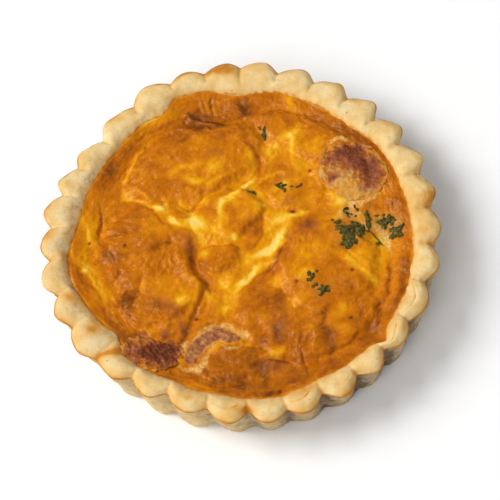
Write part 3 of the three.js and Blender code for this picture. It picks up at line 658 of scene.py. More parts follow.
# lines of the same along folds and ridges: route, width, how much
toastStrokes = [
    ([(-48.5, 11), (-46, 19), (-41.5, 27.5), (-36.5, 33.5)], 2.2, -0.12),
    ([(-34, 21.5), (-33, 25), (-31.5, 28), (-29, 31.5), (-26.5, 35), (-24, 38.5)], 0.6, -0.26),
    ([(-34.4, 19.8), (-31, 20), (-29, 18.6), (-27, 16.6), (-25.5, 15), (-23, 14)], 0.7, -0.3),
    ([(-31, 23.2), (-29, 22.4), (-27, 20), (-26, 17.5)], 0.8, -0.2),
    ([(-20, 11), (-19.6, 8.6), (-17.4, 7)], 1.0, -0.35),
    ([(-29.5, 18.2), (-27.2, 15.6), (-25.2, 13), (-23.8, 10.6), (-22, 8), (-20.6, 6.6)], 0.5, 0.3),
    ([(-21, 12), (-17, 11.6), (-13.6, 12.6), (-12, 14), (-10, 16), (-7.5, 16.8)], 0.6, 0.18),
    ([(-41.2, 18), (-41.6, 14), (-42.6, 10), (-42, 6), (-42.4, 2)], 0.6, 0.24),
    ([(-46.4, 16), (-46, 11), (-45.6, 6)], 0.7, -0.2), ([(-49, -1), (-47.6, -3.4), (-46.4, -6)], 0.6, -0.4),
    ([(-50.5, 0), (-48.6, -6), (-46.2, -10), (-44.6, -14), (-43, -19), (-40, -23.4)], 0.6, 0.1),
    ([(-10, 45.4), (-7, 43.4), (-4, 41.6), (0, 40)], 0.7, 0.26),
    ([(-11, 42.4), (-8, 40.2), (-4, 39), (1, 40.4)], 0.6, 0.26), ([(-2.2, 50), (-2.4, 46)], 0.5, 0.2),
    ([(5, 45.6), (8, 44), (9, 41)], 0.9, 0.14),
    ([(5.4, 40), (6.4, 35), (8, 31), (9.4, 26), (8.6, 22)], 0.6, 0.2),
    ([(19, 34), (20.6, 31), (19.6, 27), (19.4, 23), (21.4, 21)], 0.8, -0.2),
    ([(21, 45.6), (21.6, 42)], 1.0, -0.24),
    ([(7.4, 17.6), (9.6, 19.4), (12, 20), (15, 20.2), (18, 19.4)], 0.5, -0.16),
    ([(-4.4, 14.4), (0, 15.6), (3, 17), (5.6, 18.4), (7, 20.4)], 0.7, -0.4),
    ([(7.6, 13.4), (8.2, 11), (7.8, 8), (7, 4), (5.6, 0.4), (3.4, -3.2), (0, -4)], 0.5, 0.2),
    ([(14.4, -1.6), (12.6, -4), (11, -6), (10, -8.4), (9, -10.2), (7, -11.6), (4, -12.2), (2, -13.6),
      (-1, -16), (-3.4, -18)], 0.5, 0.24),
    ([(12, 5.2), (16, 5.6), (19, 6.3), (22.4, 5.6)], 0.6, -0.18),
    ([(14, 3.6), (12, 0.6), (9, -4), (4, -6.2), (1, -7)], 0.9, -0.2),
    ([(-21.4, 1), (-20.2, -2), (-19, -5), (-17.6, -9), (-16, -12), (-14.6, -14)], 1.0, -0.2),
    ([(-14.4, -10.6), (-12.8, -13), (-11, -16.4)], 0.6, 0.3),
    ([(-14, -13.8), (-15.2, -16.4), (-17, -20), (-18.6, -24)], 0.8, 0.3),
    ([(-22, -27), (-23, -31), (-24.2, -34), (-25.6, -37)], 0.8, 0.24),
    ([(-31.6, -7.6), (-32.8, -11), (-35, -15), (-38, -17)], 0.7, 0.1),
    ([(-31, -9.6), (-31.8, -12.8)], 0.9, -0.2),
    ([(-29.6, -15.4), (-27, -18), (-23, -19.6), (-20.6, -22)], 1.1, 0.2),
    ([(30, -13), (33, -16), (36, -20), (38, -24)], 1.4, -0.34),
    ([(44, -14), (42.6, -17.4), (41.5, -20.4), (40.8, -24), (39.8, -27), (37, -29), (36, -30.4)], 0.6, 0.2),
    ([(36.2, -30.4), (37, -32.4), (36.4, -34.4), (35.4, -37)], 0.6, 0.2),
    ([(44.4, -15), (43, -20), (42, -26), (39.4, -28.6), (38, -31.4), (37.4, -35)], 0.9, -0.1),
    ([(46.6, -17), (45.4, -22), (43.8, -27), (41.4, -31), (38.6, -35.6)], 1.2, 0.12),
    ([(22.4, -28), (20, -31), (19.2, -33)], 1.0, 0.2), ([(20.4, -34), (20.4, -40), (19.8, -46)], 1.1, 0.08),
    ([(0, -42), (2, -41.6), (5, -41.6), (7.6, -42.6)], 0.5, 0.3),
    ([(5.4, -31), (6.2, -34), (6, -37)], 0.8, 0.24), ([(3.4, -42), (2.8, -44.6), (2.4, -47)], 0.6, -0.2),
    ([(-7.6, -43), (-4, -43.8)], 0.5, -0.14), ([(13, -33), (15, -32.8), (17, -33.6)], 0.6, -0.2),
    ([(-23, -43.2), (-20, -45.6), (-16.6, -48)], 0.7, -0.16), ([(45.6, 10), (46.6, 6)], 0.7, 0.1),
    ([(-2, 22), (-6, 20.4), (-8.4, 17.6)], 0.7, -0.12), ([(-40, 5), (-39, 3), (-38, 0)], 0.5, -0.2),
    ([(-23, 3), (-21.6, 1.4)], 0.5, 0.3),
]

# dull purple-brown places, some where the skin dried over ham and some a painted dull sheen: x, y, half
# length, half width, turn, how much
duskAndSheenMarks = [
    (-39, -31, 2.6, 2.4, 0, 1.3), (-38, -34, 1.8, 2, 30, 1.0), (-27.6, -26.6, 2, 1.4, 0, 0.6),
    (-36.5, -27, 1.6, 1, 0, 0.5), (-30, -38, 3, 1, -30, 0.5), (27.6, 20, 1.4, 2.4, 0, 0.7),
    (30.4, 14.6, 2, 1.2, 0, 0.5), (-24.6, -34, 0.9, 3, 10, 0.5), (-38, 1, 2.5, 2.5, 0, 0.4),
    (-16, 1, 2.6, 4, 10, 0.7), (-4, 30, 4, 2, 0, 0.5), (20, 0, 5, 2.4, 10, 0.7),
    (-25, -17.5, 5, 2, -35, 0.6), (-22, -25, 2, 5, 15, 0.6), (6, -32, 3.5, 4, 0, 0.6),
    (2.5, -44, 5, 3, 0, 0.7), (-34.2, -26.8, 2, 1.6, 0, 1.0), (-27, -27, 1.6, 1.3, 0, 0.7),
    (2, -41, 3, 2, 0, 0.5), (3.5, 6, 2, 2.5, 0, 0.4), (-5, -10, 3, 2.5, 0, 0.4), (16, 10, 2.4, 2, 0, 0.6),
    (15, 17.5, 4.5, 1.8, 5, 0.5), (46, -1, 2.5, 2, 0, 0.5), (14, -3, 2, 3, 0, 0.4),
    (27, -21, 6, 4, 20, 0.35), (8, -27, 4, 5, 0, 0.35), (-8, 42, 6, 2, -15, 0.4), (21, -37, 1.6, 6, 0, 0.5),
    (-31, 2, 4, 2, 0, 0.3),
]

# pale set custard round the ham and the herbs: route, width, how much
paleRims = [
    ([(30.4, 24.4), (32.4, 27), (35, 27.9), (37.6, 26.6)], 1.0, 1.0), ([(27.2, 22), (27.6, 25)], 0.8, 0.5),
    ([(46.6, 16.4), (46.4, 13), (45, 10.4)], 0.9, 0.8),
    ([(44, 8.6), (41.6, 6), (37, 5), (33, 5.6)], 1.0, 0.45),
    ([(-24.6, -37), (-23, -33.4), (-21.4, -31.2), (-19.4, -30.6)], 1.4, 0.75),
    ([(-19.6, -30.8), (-15.6, -28.2), (-13, -26.6), (-9.6, -27), (-6.4, -29.4), (-2.4, -31.8)], 1.1, 0.62),
    ([(-25, -38.4), (-22.6, -40), (-19, -40.6), (-17.2, -38.6), (-16, -35.6), (-14.4, -33),
      (-11.6, -32.6)], 1.2, 0.65),
    ([(-11, -33.6), (-9.6, -35.8), (-7, -35.6), (-3.6, -34)], 0.9, 0.6),
    ([(-5, -31.6), (-2.6, -32.2)], 1.2, 0.9), ([(33.8, -0.4), (34.2, 3), (34.6, 6)], 0.9, 0.9),
    ([(36.4, 0.4), (37, 3)], 0.7, 0.8), ([(30.6, 1), (30.8, 5)], 1.0, 0.6),
    ([(36.2, -0.4), (37.4, -3), (37.8, -4.6)], 0.8, 1.0),
    ([(39.8, -1.4), (41.2, -5), (42.8, -8.4), (43.6, -14)], 1.1, 0.75),
    ([(40, -1), (43, -4.6), (42.6, -8)], 1.4, 0.8), ([(13, 36), (13.8, 34), (13.4, 31.6)], 0.7, 0.8),
    ([(12.6, 16.6), (15, 15.4), (17, 15.6)], 0.9, 0.6), ([(-32.6, -24.6), (-31.6, -28)], 0.8, 0.6),
    ([(24, 3.2), (28, 4.4), (30, 5.6)], 0.7, 0.4),
]

# foamy pale custard: x, y, half length, half width, turn, how much
paleMarks = [
    (33.4, 8.6, 4, 2.6, -10, 0.4), (38.6, 7, 4.6, 1.8, 5, 0.6), (33, 3, 3.4, 3, 0, 0.45),
    (-12, -35, 3.4, 1.6, 20, 0.3), (-9, -29, 3.4, 1.4, -30, 0.3), (-21, -39, 4, 1.6, 0, 0.3),
    (44, -7.4, 2.6, 3, 0, 0.4),
]

# skin stained by the herbs: x, y, half length, half width, turn, how much
oliveMarks = [
    (21, -22.3, 2.6, 1.7, 0, 0.8), (18.8, -18, 2.2, 2, 0, 0.4), (12.6, 34.4, 1.7, 2.4, 0, 0.5),
    (14.6, 15, 2.8, 1.4, 0, 0.5), (20, 14.2, 1.4, 0.8, 0, 0.5), (5.2, 14.8, 1.5, 0.8, 0, 0.5),
    (33.5, 2.5, 3.5, 2.6, 0, 0.6), (31.5, -6, 4.6, 4.6, 0, 0.8), (41, -2, 6, 3.4, -10, 1.0),
    (46.4, -5.5, 3.4, 3.4, 0, 0.8), (38, 9.5, 4.5, 3, 20, 0.3),
]

# small dark specks: x, y
specks = [
    (-35.2, 3.5), (-17.2, -23.8), (16.7, 6.2), (31, -17.3), (28, -32.5), (14, -17.8), (24, 19.2),
    (40, -9.2), (0.3, -52.3), (3.6, -52), (-45.8, 7), (29.5, 12.5), (-9.5, -34.8),
]


# the two lumps of ham, which the custard climbs
hamLumps = {
    "ham-lump-right": {
        "node": "ham_lump_right",
        "middle": (36.9, 16.1),
        "size": (10.8, 9.3, 3.5),    # half sizes
        "turn": -45,
        "taper": 0,
        "collar": 0.7,               # how far the custard climbs it
        "sink": 0.05,
        "lift": 1.5,
        "crumble": 0.4,
        "torn": 0.1,
        "rust": 0.5,                 # how red-brown it is, and not mauve
        "eggEdge": 0.35,
        "seed": 41,
        # x, y, half length, half width, turn, how much it looks like meat and not like egg
        "meat": [
            (36.2, 22.6, 5.2, 3.6, -14, 0.68), (42, 17, 4.6, 6, 30, 0.64), (42, 11.6, 3.6, 3.6, 0, 0.5),
            (30.6, 20.6, 3.8, 3.6, 0, 0.56), (37.4, 18, 3.4, 2.6, 0, 0.3), (30.3, 14.8, 2, 1.3, 0, 0.8),
            (39, 23, 1.8, 1.3, 0, 0.3), (41, 15, 1.8, 1.4, 0, 0.3), (39, 19, 1.3, 1.2, 0, 0.25),
        ],
    },
    "ham-lump-left": {
        "node": "ham_lump_left",
        "middle": (-32.3, -32.2),
        "size": (8.6, 5.4, 3.2),
        "turn": -26,
        "taper": 0.22,
        "collar": 0.4,
        "sink": 0.15,
        "lift": 1.3,
        "crumble": 0.5,
        "torn": 0.3,
        "rust": 0.9,
        "eggEdge": 0,
        "seed": 42,
        "meat": [
            (-27.8, -33.4, 5.4, 5.2, 0, 1.0), (-35, -32, 7, 5, -26, 0.62),
        ],
    },
}

# heights of the skin's finer forms, on top of the puffs
skinForms = {
    "swells": 0.4,
    "drawnSwells": 0.22,         # stretched the way the skin was drawn
    "softFolds": (0.5, 0.2),     # large and small
    "wrinkles": 0.24,
    "thinWrinkles": 0.13,
    "grain": (0.1, 0.05),        # drawn out and round
    "foldGroove": 0.95,          # shares of a fold's depth
    "foldShoulder": 0.3,
}

# how brown the skin is, from 0 (set yellow custard) to 1 (dark brown), with painted shade in folds and
# between wrinkles and painted highlight on wrinkle tops
browning = {
    "base": 0.455,
    "onPuffs": 0.12,
    "clouds": 0.08,
    "patches": (0.05, 0.035),    # large and small
    "streaks": (0.03, 0.05),     # broad and thin
    "nearEdge": 0.2,
    "edgeLine": -0.14,           # the paler line against the pastry
    # painted shade in the folds; painted shade between wrinkles and painted highlight along their tops
    "foldShade": 0.2,
    "wrinkleShadeAndHighlight": -0.3,
    "speck": (1.2, 0.4),         # how much, and its radius
}


def puffLift(x, y):
    by, wave = custard["wobble"]
    flat = np.column_stack((x, y, 0 * x))
    bentX = x + by * np.sin(y / wave + 0.6) + 0.5 * np.sin(x / 3.2 + y / 4.5)
    bentY = y + by * np.sin(x / wave - 1.1) + 0.5 * np.sin(y / 3.2 - x / 4.5)
    bentX += custard["raggedness"] * (lumpyNoise(flat, 4.5, 35) + 0.4 * lumpyNoise(flat, 1.7, 36))
    bentY += custard["raggedness"] * (lumpyNoise(flat, 4.5, 37) + 0.4 * lumpyNoise(flat, 1.7, 38))
    lift = np.zeros(len(x))
    for puff in custard["puffs"]:
        away = ovalAway(bentX, bentY, puff)
        shape = 0.7 * (1 - smoothStep(away, 0.76, 1.05)) + 0.3 * np.maximum(0, 1 - away * away)
        lift = np.maximum(lift, puff[5] * shape)
    return lift


def edgeDistance(x, y):
    return mouthRadius(np.degrees(np.arctan2(x, y))) - np.hypot(x, y)


def custardTop(x, y):
    fromEdge = edgeDistance(x, y)
    band = 1 - smoothStep(fromEdge, 0, custard["edgeBandWidth"])
    lift = puffLift(x, y) * smoothStep(fromEdge, *custard["patchFade"])
    risen = np.maximum(custard["edgeBandRise"] * band, lift)
    return custard["level"] + risen + 0.15 * np.sin(x / 5.7) * np.sin(y / 4.9)


def wobbled(x, y):
    # the same place, pushed about a little, so that no fold runs straight
    flat = np.column_stack((x, y, 0 * x))
    pushX = 0.9 * lumpyNoise(flat, 4.2, 31) + 0.3 * lumpyNoise(flat, 1.5, 32)
    pushY = 0.9 * lumpyNoise(flat, 4.2, 33) + 0.3 * lumpyNoise(flat, 1.5, 34)
    return x + pushX, y + pushY


def foldDepth(x, y):
    return strokesAt(*wobbled(x, y), custard["folds"])


def streaks(x, y, size, length, seed):
    # noise smeared along the way the skin was drawn: round the edge, and swirling inside
    flat = np.column_stack((x, y, 0 * x))
    rim = 2 * np.arctan2(-x, y)
    swirl = math.radians(50) + 2.6 * lumpyNoise(flat, 15, 51)
    near = 1 - smoothStep(edgeDistance(x, y), 3, 13)
    ahead = 0.5 * np.arctan2(near * np.sin(rim) + (1 - near) * np.sin(swirl),
                             near * np.cos(rim) + (1 - near) * np.cos(swirl))
    total = 0
    for step in np.linspace(-0.5, 0.5, 7):
        moved = np.column_stack((x + step * length * np.cos(ahead), y + step * length * np.sin(ahead), 0 * x))
        total = total + lumpyNoise(moved, size, seed)
    return total / 4


def fineRelief(x, y):
    bentX, bentY = wobbled(x, y)
    flat = np.column_stack((x, y, 0 * x))
    creased = smoothStep(lumpyNoise(flat, 9, 16) + 0.25 * lumpyNoise(flat, 3, 17), -0.25, 0.45)
    broad = 0.7 - np.minimum(1, 3.2 * np.abs(streaks(bentX, bentY, 2.4, 4, 13)))
    thin = 0.7 - np.minimum(1, 3.2 * np.abs(streaks(x, y, 1.2, 2.6, 14)))
    relief = skinForms["wrinkles"] * creased * broad
    relief += skinForms["thinWrinkles"] * (0.3 + 0.7 * creased) * thin
    drawn, rounded = skinForms["grain"]
    return relief + drawn * streaks(x, y, 0.9, 1.6, 15) + rounded * lumpyNoise(flat, 0.8, 18)


def skinRelief(x, y):
    # the folds and wrinkles on top of the puffed shape
    bentX, bentY = wobbled(x, y)
    bent = np.column_stack((bentX, bentY, 0 * x))
    relief = skinForms["swells"] * lumpyNoise(bent, 7, 11) + fineRelief(x, y)
    relief += skinForms["drawnSwells"] * streaks(bentX, bentY, 3.4, 4, 12)
    largeFold, smallFold = skinForms["softFolds"]
    relief += largeFold * (np.abs(lumpyNoise(bent, 6.5, 19)) - 0.25)
    relief += smallFold * (np.abs(lumpyNoise(bent, 3.4, 20)) - 0.25)
    for route, width, depth in custard["folds"]:
        groove = alongStroke(bentX, bentY, route, width)
        shoulder = alongStroke(bentX, bentY, route, 2.8 * width)
        relief += depth * (skinForms["foldShoulder"] * shoulder - skinForms["foldGroove"] * groove)
    relief += strokesAt(bentX, bentY, custard["ridges"])
    for lump in hamLumps.values():
        oval = (*lump["middle"], *lump["size"][:2], lump["turn"])
        relief += lump["collar"] * (1 - smoothStep(ovalAway(bentX, bentY, oval), 0.9, 1.4))
    return relief * smoothStep(edgeDistance(x, y), -0.6, 1.5)


def skinHeight(x, y):
    return custardTop(x, y) + skinRelief(x, y)


def patchy(points, size, seed):
    # patches with fairly sharp edges, from -1 to 1
    return np.tanh(3.2 * lumpyNoise(points, size, seed))


def toastAt(x, y):
    flat = np.column_stack((x, y, 0 * x))
    bentX, bentY = wobbled(x, y)
    bent = np.column_stack((bentX, bentY, 0 * x))
    fromEdge = edgeDistance(x, y)
    toast = browning["base"] + browning["onPuffs"] * smoothStep(puffLift(x, y), 0.2, 1.3)
    toast += browning["clouds"] * lumpyNoise(flat, 8, 21)
    largePatch, smallPatch = browning["patches"]
    toast += largePatch * patchy(bent, 4.6, 22) + smallPatch * patchy(bent, 1.9, 26)
    broadStreak, thinStreak = browning["streaks"]
    toast += broadStreak * np.tanh(3.2 * streaks(bentX, bentY, 2.2, 4, 23))
    toast += thinStreak * streaks(x, y, 1.3, 3, 24)
    toast += browning["nearEdge"] * (1 - smoothStep(fromEdge, 0.5, 8))
    uneven = 1 + 1.6 * lumpyNoise(flat, 5, 25)
    toast += browning["edgeLine"] * (1 - smoothStep(fromEdge, -0.2, 1.1)) * uneven
    toast += strokesAt(bentX, bentY, toastStrokes) + 0.9 * marksAt(bentX, bentY, toastMarks, 1.05)
    # painted shade: browner in the folds and between wrinkles; painted highlight: paler along the wrinkles'
    # tops
    toast += browning["foldShade"] * foldDepth(x, y) + browning["wrinkleShadeAndHighlight"] * fineRelief(x, y)
    speckMuch, speckRadius = browning["speck"]
    for x0, y0 in specks:
        toast += speckMuch * hump(np.hypot(x - x0, y - y0), speckRadius)
    return np.clip(toast, 0, 1)


def discGrid(name, cells):
    # a square grid pressed into a round one of radius 1
    bpy.ops.mesh.primitive_grid_add(x_subdivisions=cells, y_subdivisions=cells, size=2)
    piece = bpy.context.object
    piece.name = name
    start = getPoints(piece)
    u, v = start[:, 0], start[:, 1]
    setPoints(piece, np.column_stack((u * np.sqrt(1 - v * v / 2), v * np.sqrt(1 - u * u / 2), 0 * u)) / mm)
    return piece


def buildCustard():
    piece = discGrid("custard-baked", custard["cells"])
    editAll()
    bpy.ops.mesh.region_to_loop()
    bpy.ops.mesh.extrude_edges_move(TRANSFORM_OT_translate={"value": (0, 0, -1)})
    bpy.ops.mesh.edge_face_add()
    bpy.ops.mesh.select_all(action="SELECT")
    bpy.ops.mesh.normals_make_consistent(inside=False)
    bpy.ops.object.mode_set(mode="OBJECT")

    start = getPoints(piece)
    onTop = start[:, 2] > -0.5
    bearing = np.degrees(np.arctan2(start[:, 0], start[:, 1]))
    low = case["baseThickness"] + 0.3
    radius = np.where(onTop, mouthRadius(bearing) + custard["tuck"], insideRadius(bearing, low) - 0.3)
    x, y = start[:, 0] * radius, start[:, 1] * radius
    setPoints(piece, np.column_stack((x, y, np.where(onTop, skinHeight(x, y), low))))

    bentX, bentY = wobbled(x, y)
    pale = strokesAt(bentX, bentY, paleRims) + marksAt(bentX, bentY, paleMarks)
    # toast also carries painted shade in folds and between wrinkles, and painted highlight on wrinkle tops
    paint(piece, "toast", toastAt(x, y))
    paint(piece, "pale", np.clip(pale, 0, 1))
    # dusky places, partly a painted dull sheen
    paint(piece, "dusk", np.clip(marksAt(bentX, bentY, duskAndSheenMarks), 0, 1))
    paint(piece, "olive", np.clip(marksAt(bentX, bentY, oliveMarks), 0, 1))
    bpy.ops.object.shade_smooth()
    return piece


deselectAll()
filling = buildCustard()
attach(filling, "root")
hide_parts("filling")
print("custard built,", len(filling.data.polygons), "faces")


# ham: its lumps are sized above, since the custard climbs them

hamStrip = {
    "route": [(-21.8, -38), (-19.6, -34.6), (-16.8, -31.6), (-12.3, -29.4), (-8.8, -31.5), (-5.6, -32.8)],
    "halfWidth": (3.0, 2.3),     # at its two ends
    "halfHeight": 0.8,
    "seed": 43,
}


def buildHamLump(name, lump):
    bpy.ops.mesh.primitive_ico_sphere_add(subdivisions=6, radius=1)
    piece = bpy.context.object
    piece.name = name
    ball = getPoints(piece)
    turn = math.radians(lump["turn"])
    seed = lump["seed"]
    ragged = lumpyNoise(ball, 0.7, seed + 110) + 0.6 * lumpyNoise(ball, 0.25, seed + 120)
    torn = 1 + lump["torn"] * ragged
    wide = lump["size"][0] * torn
    deep = lump["size"][1] * torn * (1 + lump["taper"] * ball[:, 0])
    x = ball[:, 0] * wide * math.cos(turn) - ball[:, 1] * deep * math.sin(turn) + lump["middle"][0]
    y = ball[:, 0] * wide * math.sin(turn) + ball[:, 1] * deep * math.cos(turn) + lump["middle"][1]
    out = np.hypot(ball[:, 0], ball[:, 1])
    dome = np.where(ball[:, 2] > 0, lump["lift"] * (1 - out ** 2.5), lump["size"][2] * ball[:, 2])
    points = np.column_stack((x, y, custardTop(x, y) + lump["collar"] - lump["sink"] + dome))

    # torn fibres and crumbs
    crumble = lump["crumble"]
    push = 0.35 * lumpyNoise(points, 4.5, seed) + 1.0 * crumble * lumpyNoise(points, 2.1, seed + 20)
    push += 0.8 * crumble * lumpyNoise(points, 0.9, seed + 40)
    points[:, 2] += push * np.where(ball[:, 2] > -0.1, 1, 0.3)
    setPoints(piece, points)

    x, y = points[:, 0], points[:, 1]
    warp = 0.8 * lumpyNoise(points, 2.2, seed + 60)
    meat = marksAt(x + warp, y - warp, lump["meat"])
    meat += 0.3 * lumpyNoise(points, 2.4, seed + 80) + 0.25 * lumpyNoise(points, 1, seed + 85) - 0.25 * push
    meat *= 1 - lump["eggEdge"] * smoothStep(out + 0.12 * lumpyNoise(points, 2, seed + 90), 0.86, 1.0)
    paint(piece, "meat", np.clip(meat, 0, 1))
    paint(piece, "rust", np.clip(lump["rust"] + 1.6 * lumpyNoise(points, 2.6, seed + 95), 0, 1))
    bpy.ops.object.shade_smooth()
    return piece


def routePoint(route, share):
    # place and heading at each share of a route's length, softened at its corners
    corners = np.array(route, dtype=float)
    run = np.concatenate(([0], np.cumsum(np.hypot(*np.diff(corners, axis=0).T))))
    steps = np.linspace(0, 1, 200)
    line = np.column_stack([np.interp(steps * run[-1], run, corners[:, axis]) for axis in (0, 1)])
    for _ in range(30):
        line[1:-1] = (line[:-2] + 2 * line[1:-1] + line[2:]) / 4
    place = np.column_stack([np.interp(share, steps, line[:, axis]) for axis in (0, 1)])
    heading = np.gradient(line, axis=0)
    heading /= np.linalg.norm(heading, axis=1)[:, None]
    ahead = np.column_stack([np.interp(share, steps, heading[:, axis]) for axis in (0, 1)])
    return place, ahead


def buildAlong(name, route, halfWidth, halfHeight, sides, rings):
    # a ball drawn out along a route: it stays closed and rounds off at both ends
    bpy.ops.mesh.primitive_uv_sphere_add(segments=sides, ring_count=rings, radius=1)
    piece = bpy.context.object
    piece.name = name
    ball = getPoints(piece)
    share = np.arccos(np.clip(-ball[:, 2], -1, 1)) / math.pi
    girth = np.hypot(ball[:, 0], ball[:, 1])
    around = np.arctan2(ball[:, 1], ball[:, 0])
    taper = np.where(girth > 1e-6, np.minimum(1, np.sin(math.pi * share)) ** 0.35, 0)
    place, ahead = routePoint(route, share)
    side = halfWidth * taper * np.cos(around)
    up = halfHeight * taper * np.sin(around)
    return piece, place, ahead, side, up, share


def buildHamStrip():
    seed = hamStrip["seed"]
    piece, place, ahead, side, up, share = buildAlong(
        "ham-strip", hamStrip["route"], 1, hamStrip["halfHeight"], 48, 110)
    wideAt = np.interp(share, (0, 1), hamStrip["halfWidth"])
    side *= wideAt
    x = place[:, 0] - ahead[:, 1] * side
    y = place[:, 1] + ahead[:, 0] * side
    z = skinHeight(x, y) + np.where(up > 0, 0.6, 1.2) * up + 0.02
    points = np.column_stack((x, y, z))
    rough = 0.25 * lumpyNoise(points, 2.0, seed) + 0.22 * lumpyNoise(points, 0.9, seed + 20)
    points[:, 0] += 1.2 * rough * np.sign(side)
    points[:, 2] += rough
    setPoints(piece, points)
    meat = 0.46 + 0.4 * lumpyNoise(points, 1.6, seed + 2) - 0.5 * smoothStep(np.abs(side) / wideAt, 0.55, 1)
    paint(piece, "meat", np.clip(meat, 0, 1))
    paint(piece, "rust", 0 * meat)
    editAll()
    bpy.ops.mesh.normals_make_consistent(inside=False)
    bpy.ops.object.mode_set(mode="OBJECT")
    bpy.ops.object.shade_smooth()
    return piece


hamPieces = []
for lumpName, lumpSizes in hamLumps.items():
    deselectAll()
    hamPieces.append(buildHamLump(lumpName, lumpSizes))
    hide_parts(lumpSizes["node"])
deselectAll()
hamPieces.append(buildHamStrip())
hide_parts("ham_strip")
for hamPiece in hamPieces:
    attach(hamPiece, "root")
print("ham built,", len(hamPieces), "pieces")


# parsley

parsley = {
    "thickness": 0.3,
    "above": 0.55,    # clear of the skin
    "seed": 51,
    # piece: blades of x, y, body radius, then lobes of direction, reach, width
    "blades": {
        "parsley-sprig": [
            (34.9, -3.7, 1.9, [(15, 2.3, 22), (60, 2.9, 20), (110, 2.9, 22), (165, 2.6, 24),
              (285, 3.1, 24)]),
            (31.9, -7.2, 1.8, [(70, 3.2, 26), (130, 2.5, 22), (205, 2.7, 20), (250, 2.9, 22),
              (320, 2.5, 20)]),
            (30.9, -3, 0.9, [(0, 2.8, 26), (150, 2.4, 26), (235, 2.2, 24), (300, 2.4, 26)]),
            (38.7, -0.6, 0.7, [(95, 2.6, 24), (262, 2.8, 22)]),
        ],
        "parsley-leaf-back": [
            (43.2, -2.3, 1.1, [(10, 2.6, 20), (70, 1.7, 22), (165, 2.2, 24), (260, 2.1, 22)]),
        ],
        "parsley-leaf-edge": [
            (46.4, -6.6, 1.1, [(48, 2.8, 22), (120, 2.0, 22), (215, 2.6, 24), (300, 2.4, 22)]),
        ],
    },
    "stems": [
        [(36.2, -4.2), (38.7, -4.7), (40.4, -7.8), (41.7, -10.2)],
        [(38.6, -2.4), (38.3, -3.6), (38.0, -4.6)],
    ],
    "stemRadius": 0.2,
    "nodes": {
        "parsley-sprig": "parsley_sprig",
        "parsley-leaf-back": "parsley_leaf_back",
        "parsley-leaf-edge": "parsley_leaf_edge",
    },
    # crumbs of leaf: x, y, half length, half width, turn
    "crumbs": [
        (12, 34.3, 0.9, 0.4, 80), (12.6, 36, 0.8, 0.3, 60), (11.2, 36.6, 0.6, 0.3, 120),
        (12.2, 32.8, 0.6, 0.35, 90), (5.2, 14.8, 0.9, 0.35, 10), (4.3, 15.2, 0.5, 0.25, -30),
        (6.2, 14.4, 0.5, 0.25, -40), (13.6, 15.6, 1.1, 0.3, 130), (15.6, 15.6, 0.8, 0.25, 160),
        (15.4, 13.6, 0.7, 0.3, 60), (17.6, 14.6, 0.6, 0.22, 0), (19.6, 14.2, 0.8, 0.3, 20),
        (20.6, 14.7, 0.5, 0.25, 60), (14.2, 16.6, 0.8, 0.2, 20), (18.2, -16.4, 0.8, 0.4, 75),
        (20.5, -16, 0.5, 0.3, 10), (17.6, -18.2, 0.6, 0.4, 0), (19.6, -20.2, 0.6, 0.4, 40),
        (23, -22.8, 0.6, 0.3, 70), (20.4, -23.6, 0.5, 0.3, 10), (18.6, -20.6, 0.5, 0.3, 0),
        (29.4, -0.6, 0.9, 0.5, 20), (33, 4.4, 0.5, 0.4, 80), (32.6, 3, 0.5, 0.35, 100),
        (34, 2.2, 0.4, 0.25, 45), (35.4, 4.6, 0.5, 0.25, 70), (36, 3.4, 0.7, 0.3, 110),
        (35.2, 1.4, 0.45, 0.25, 10), (41.5, 0.2, 0.9, 0.25, 0), (43.6, 0.1, 0.6, 0.25, 20),
        (45, -1.2, 0.8, 0.5, 60), (46.2, -2.2, 0.8, 0.45, -50), (45.4, -3.4, 0.6, 0.4, 0),
        (40.1, -9.2, 0.6, 0.35, 0), (48.6, -4.9, 0.8, 0.3, 30), (44.8, -5.2, 0.6, 0.3, 80),
        (31, -9.6, 0.6, 0.4, 0), (28.8, -3.2, 0.5, 0.35, 40), (27.9, 0.6, 0.4, 0.3, 0),
    ],
    # small torn leaves among them, given like the blades
    "shreds": [
        (21.4, -22, 0.5, [(20, 1.6, 20), (100, 1.2, 22), (170, 1.5, 20), (250, 1.5, 20), (310, 1.2, 22)]),
        (19, -17.5, 0.35, [(60, 1.5, 22), (150, 0.9, 22), (235, 1.5, 22)]),
        (12.2, 34.2, 0.35, [(80, 1.4, 22), (190, 0.9, 24), (265, 1.6, 22)]),
        (14.8, 15.2, 0.3, [(30, 1.3, 22), (150, 1.3, 22), (270, 1.0, 22)]),
    ],
    # curled edges of leaf standing in the custard: x, y, radius
    "curls": [(32.6, 3.7, 0.8), (33.4, 1.9, 0.7), (45.6, -2.2, 1.0), (14.4, 15.6, 1.0)],
}


def bladeReach(blade, direction):
    reach = blade[2] + 0 * direction
    for middle, length, width in blade[3]:
        reach += (length - blade[2]) * hump(angleFrom(direction, middle), width)
    return reach


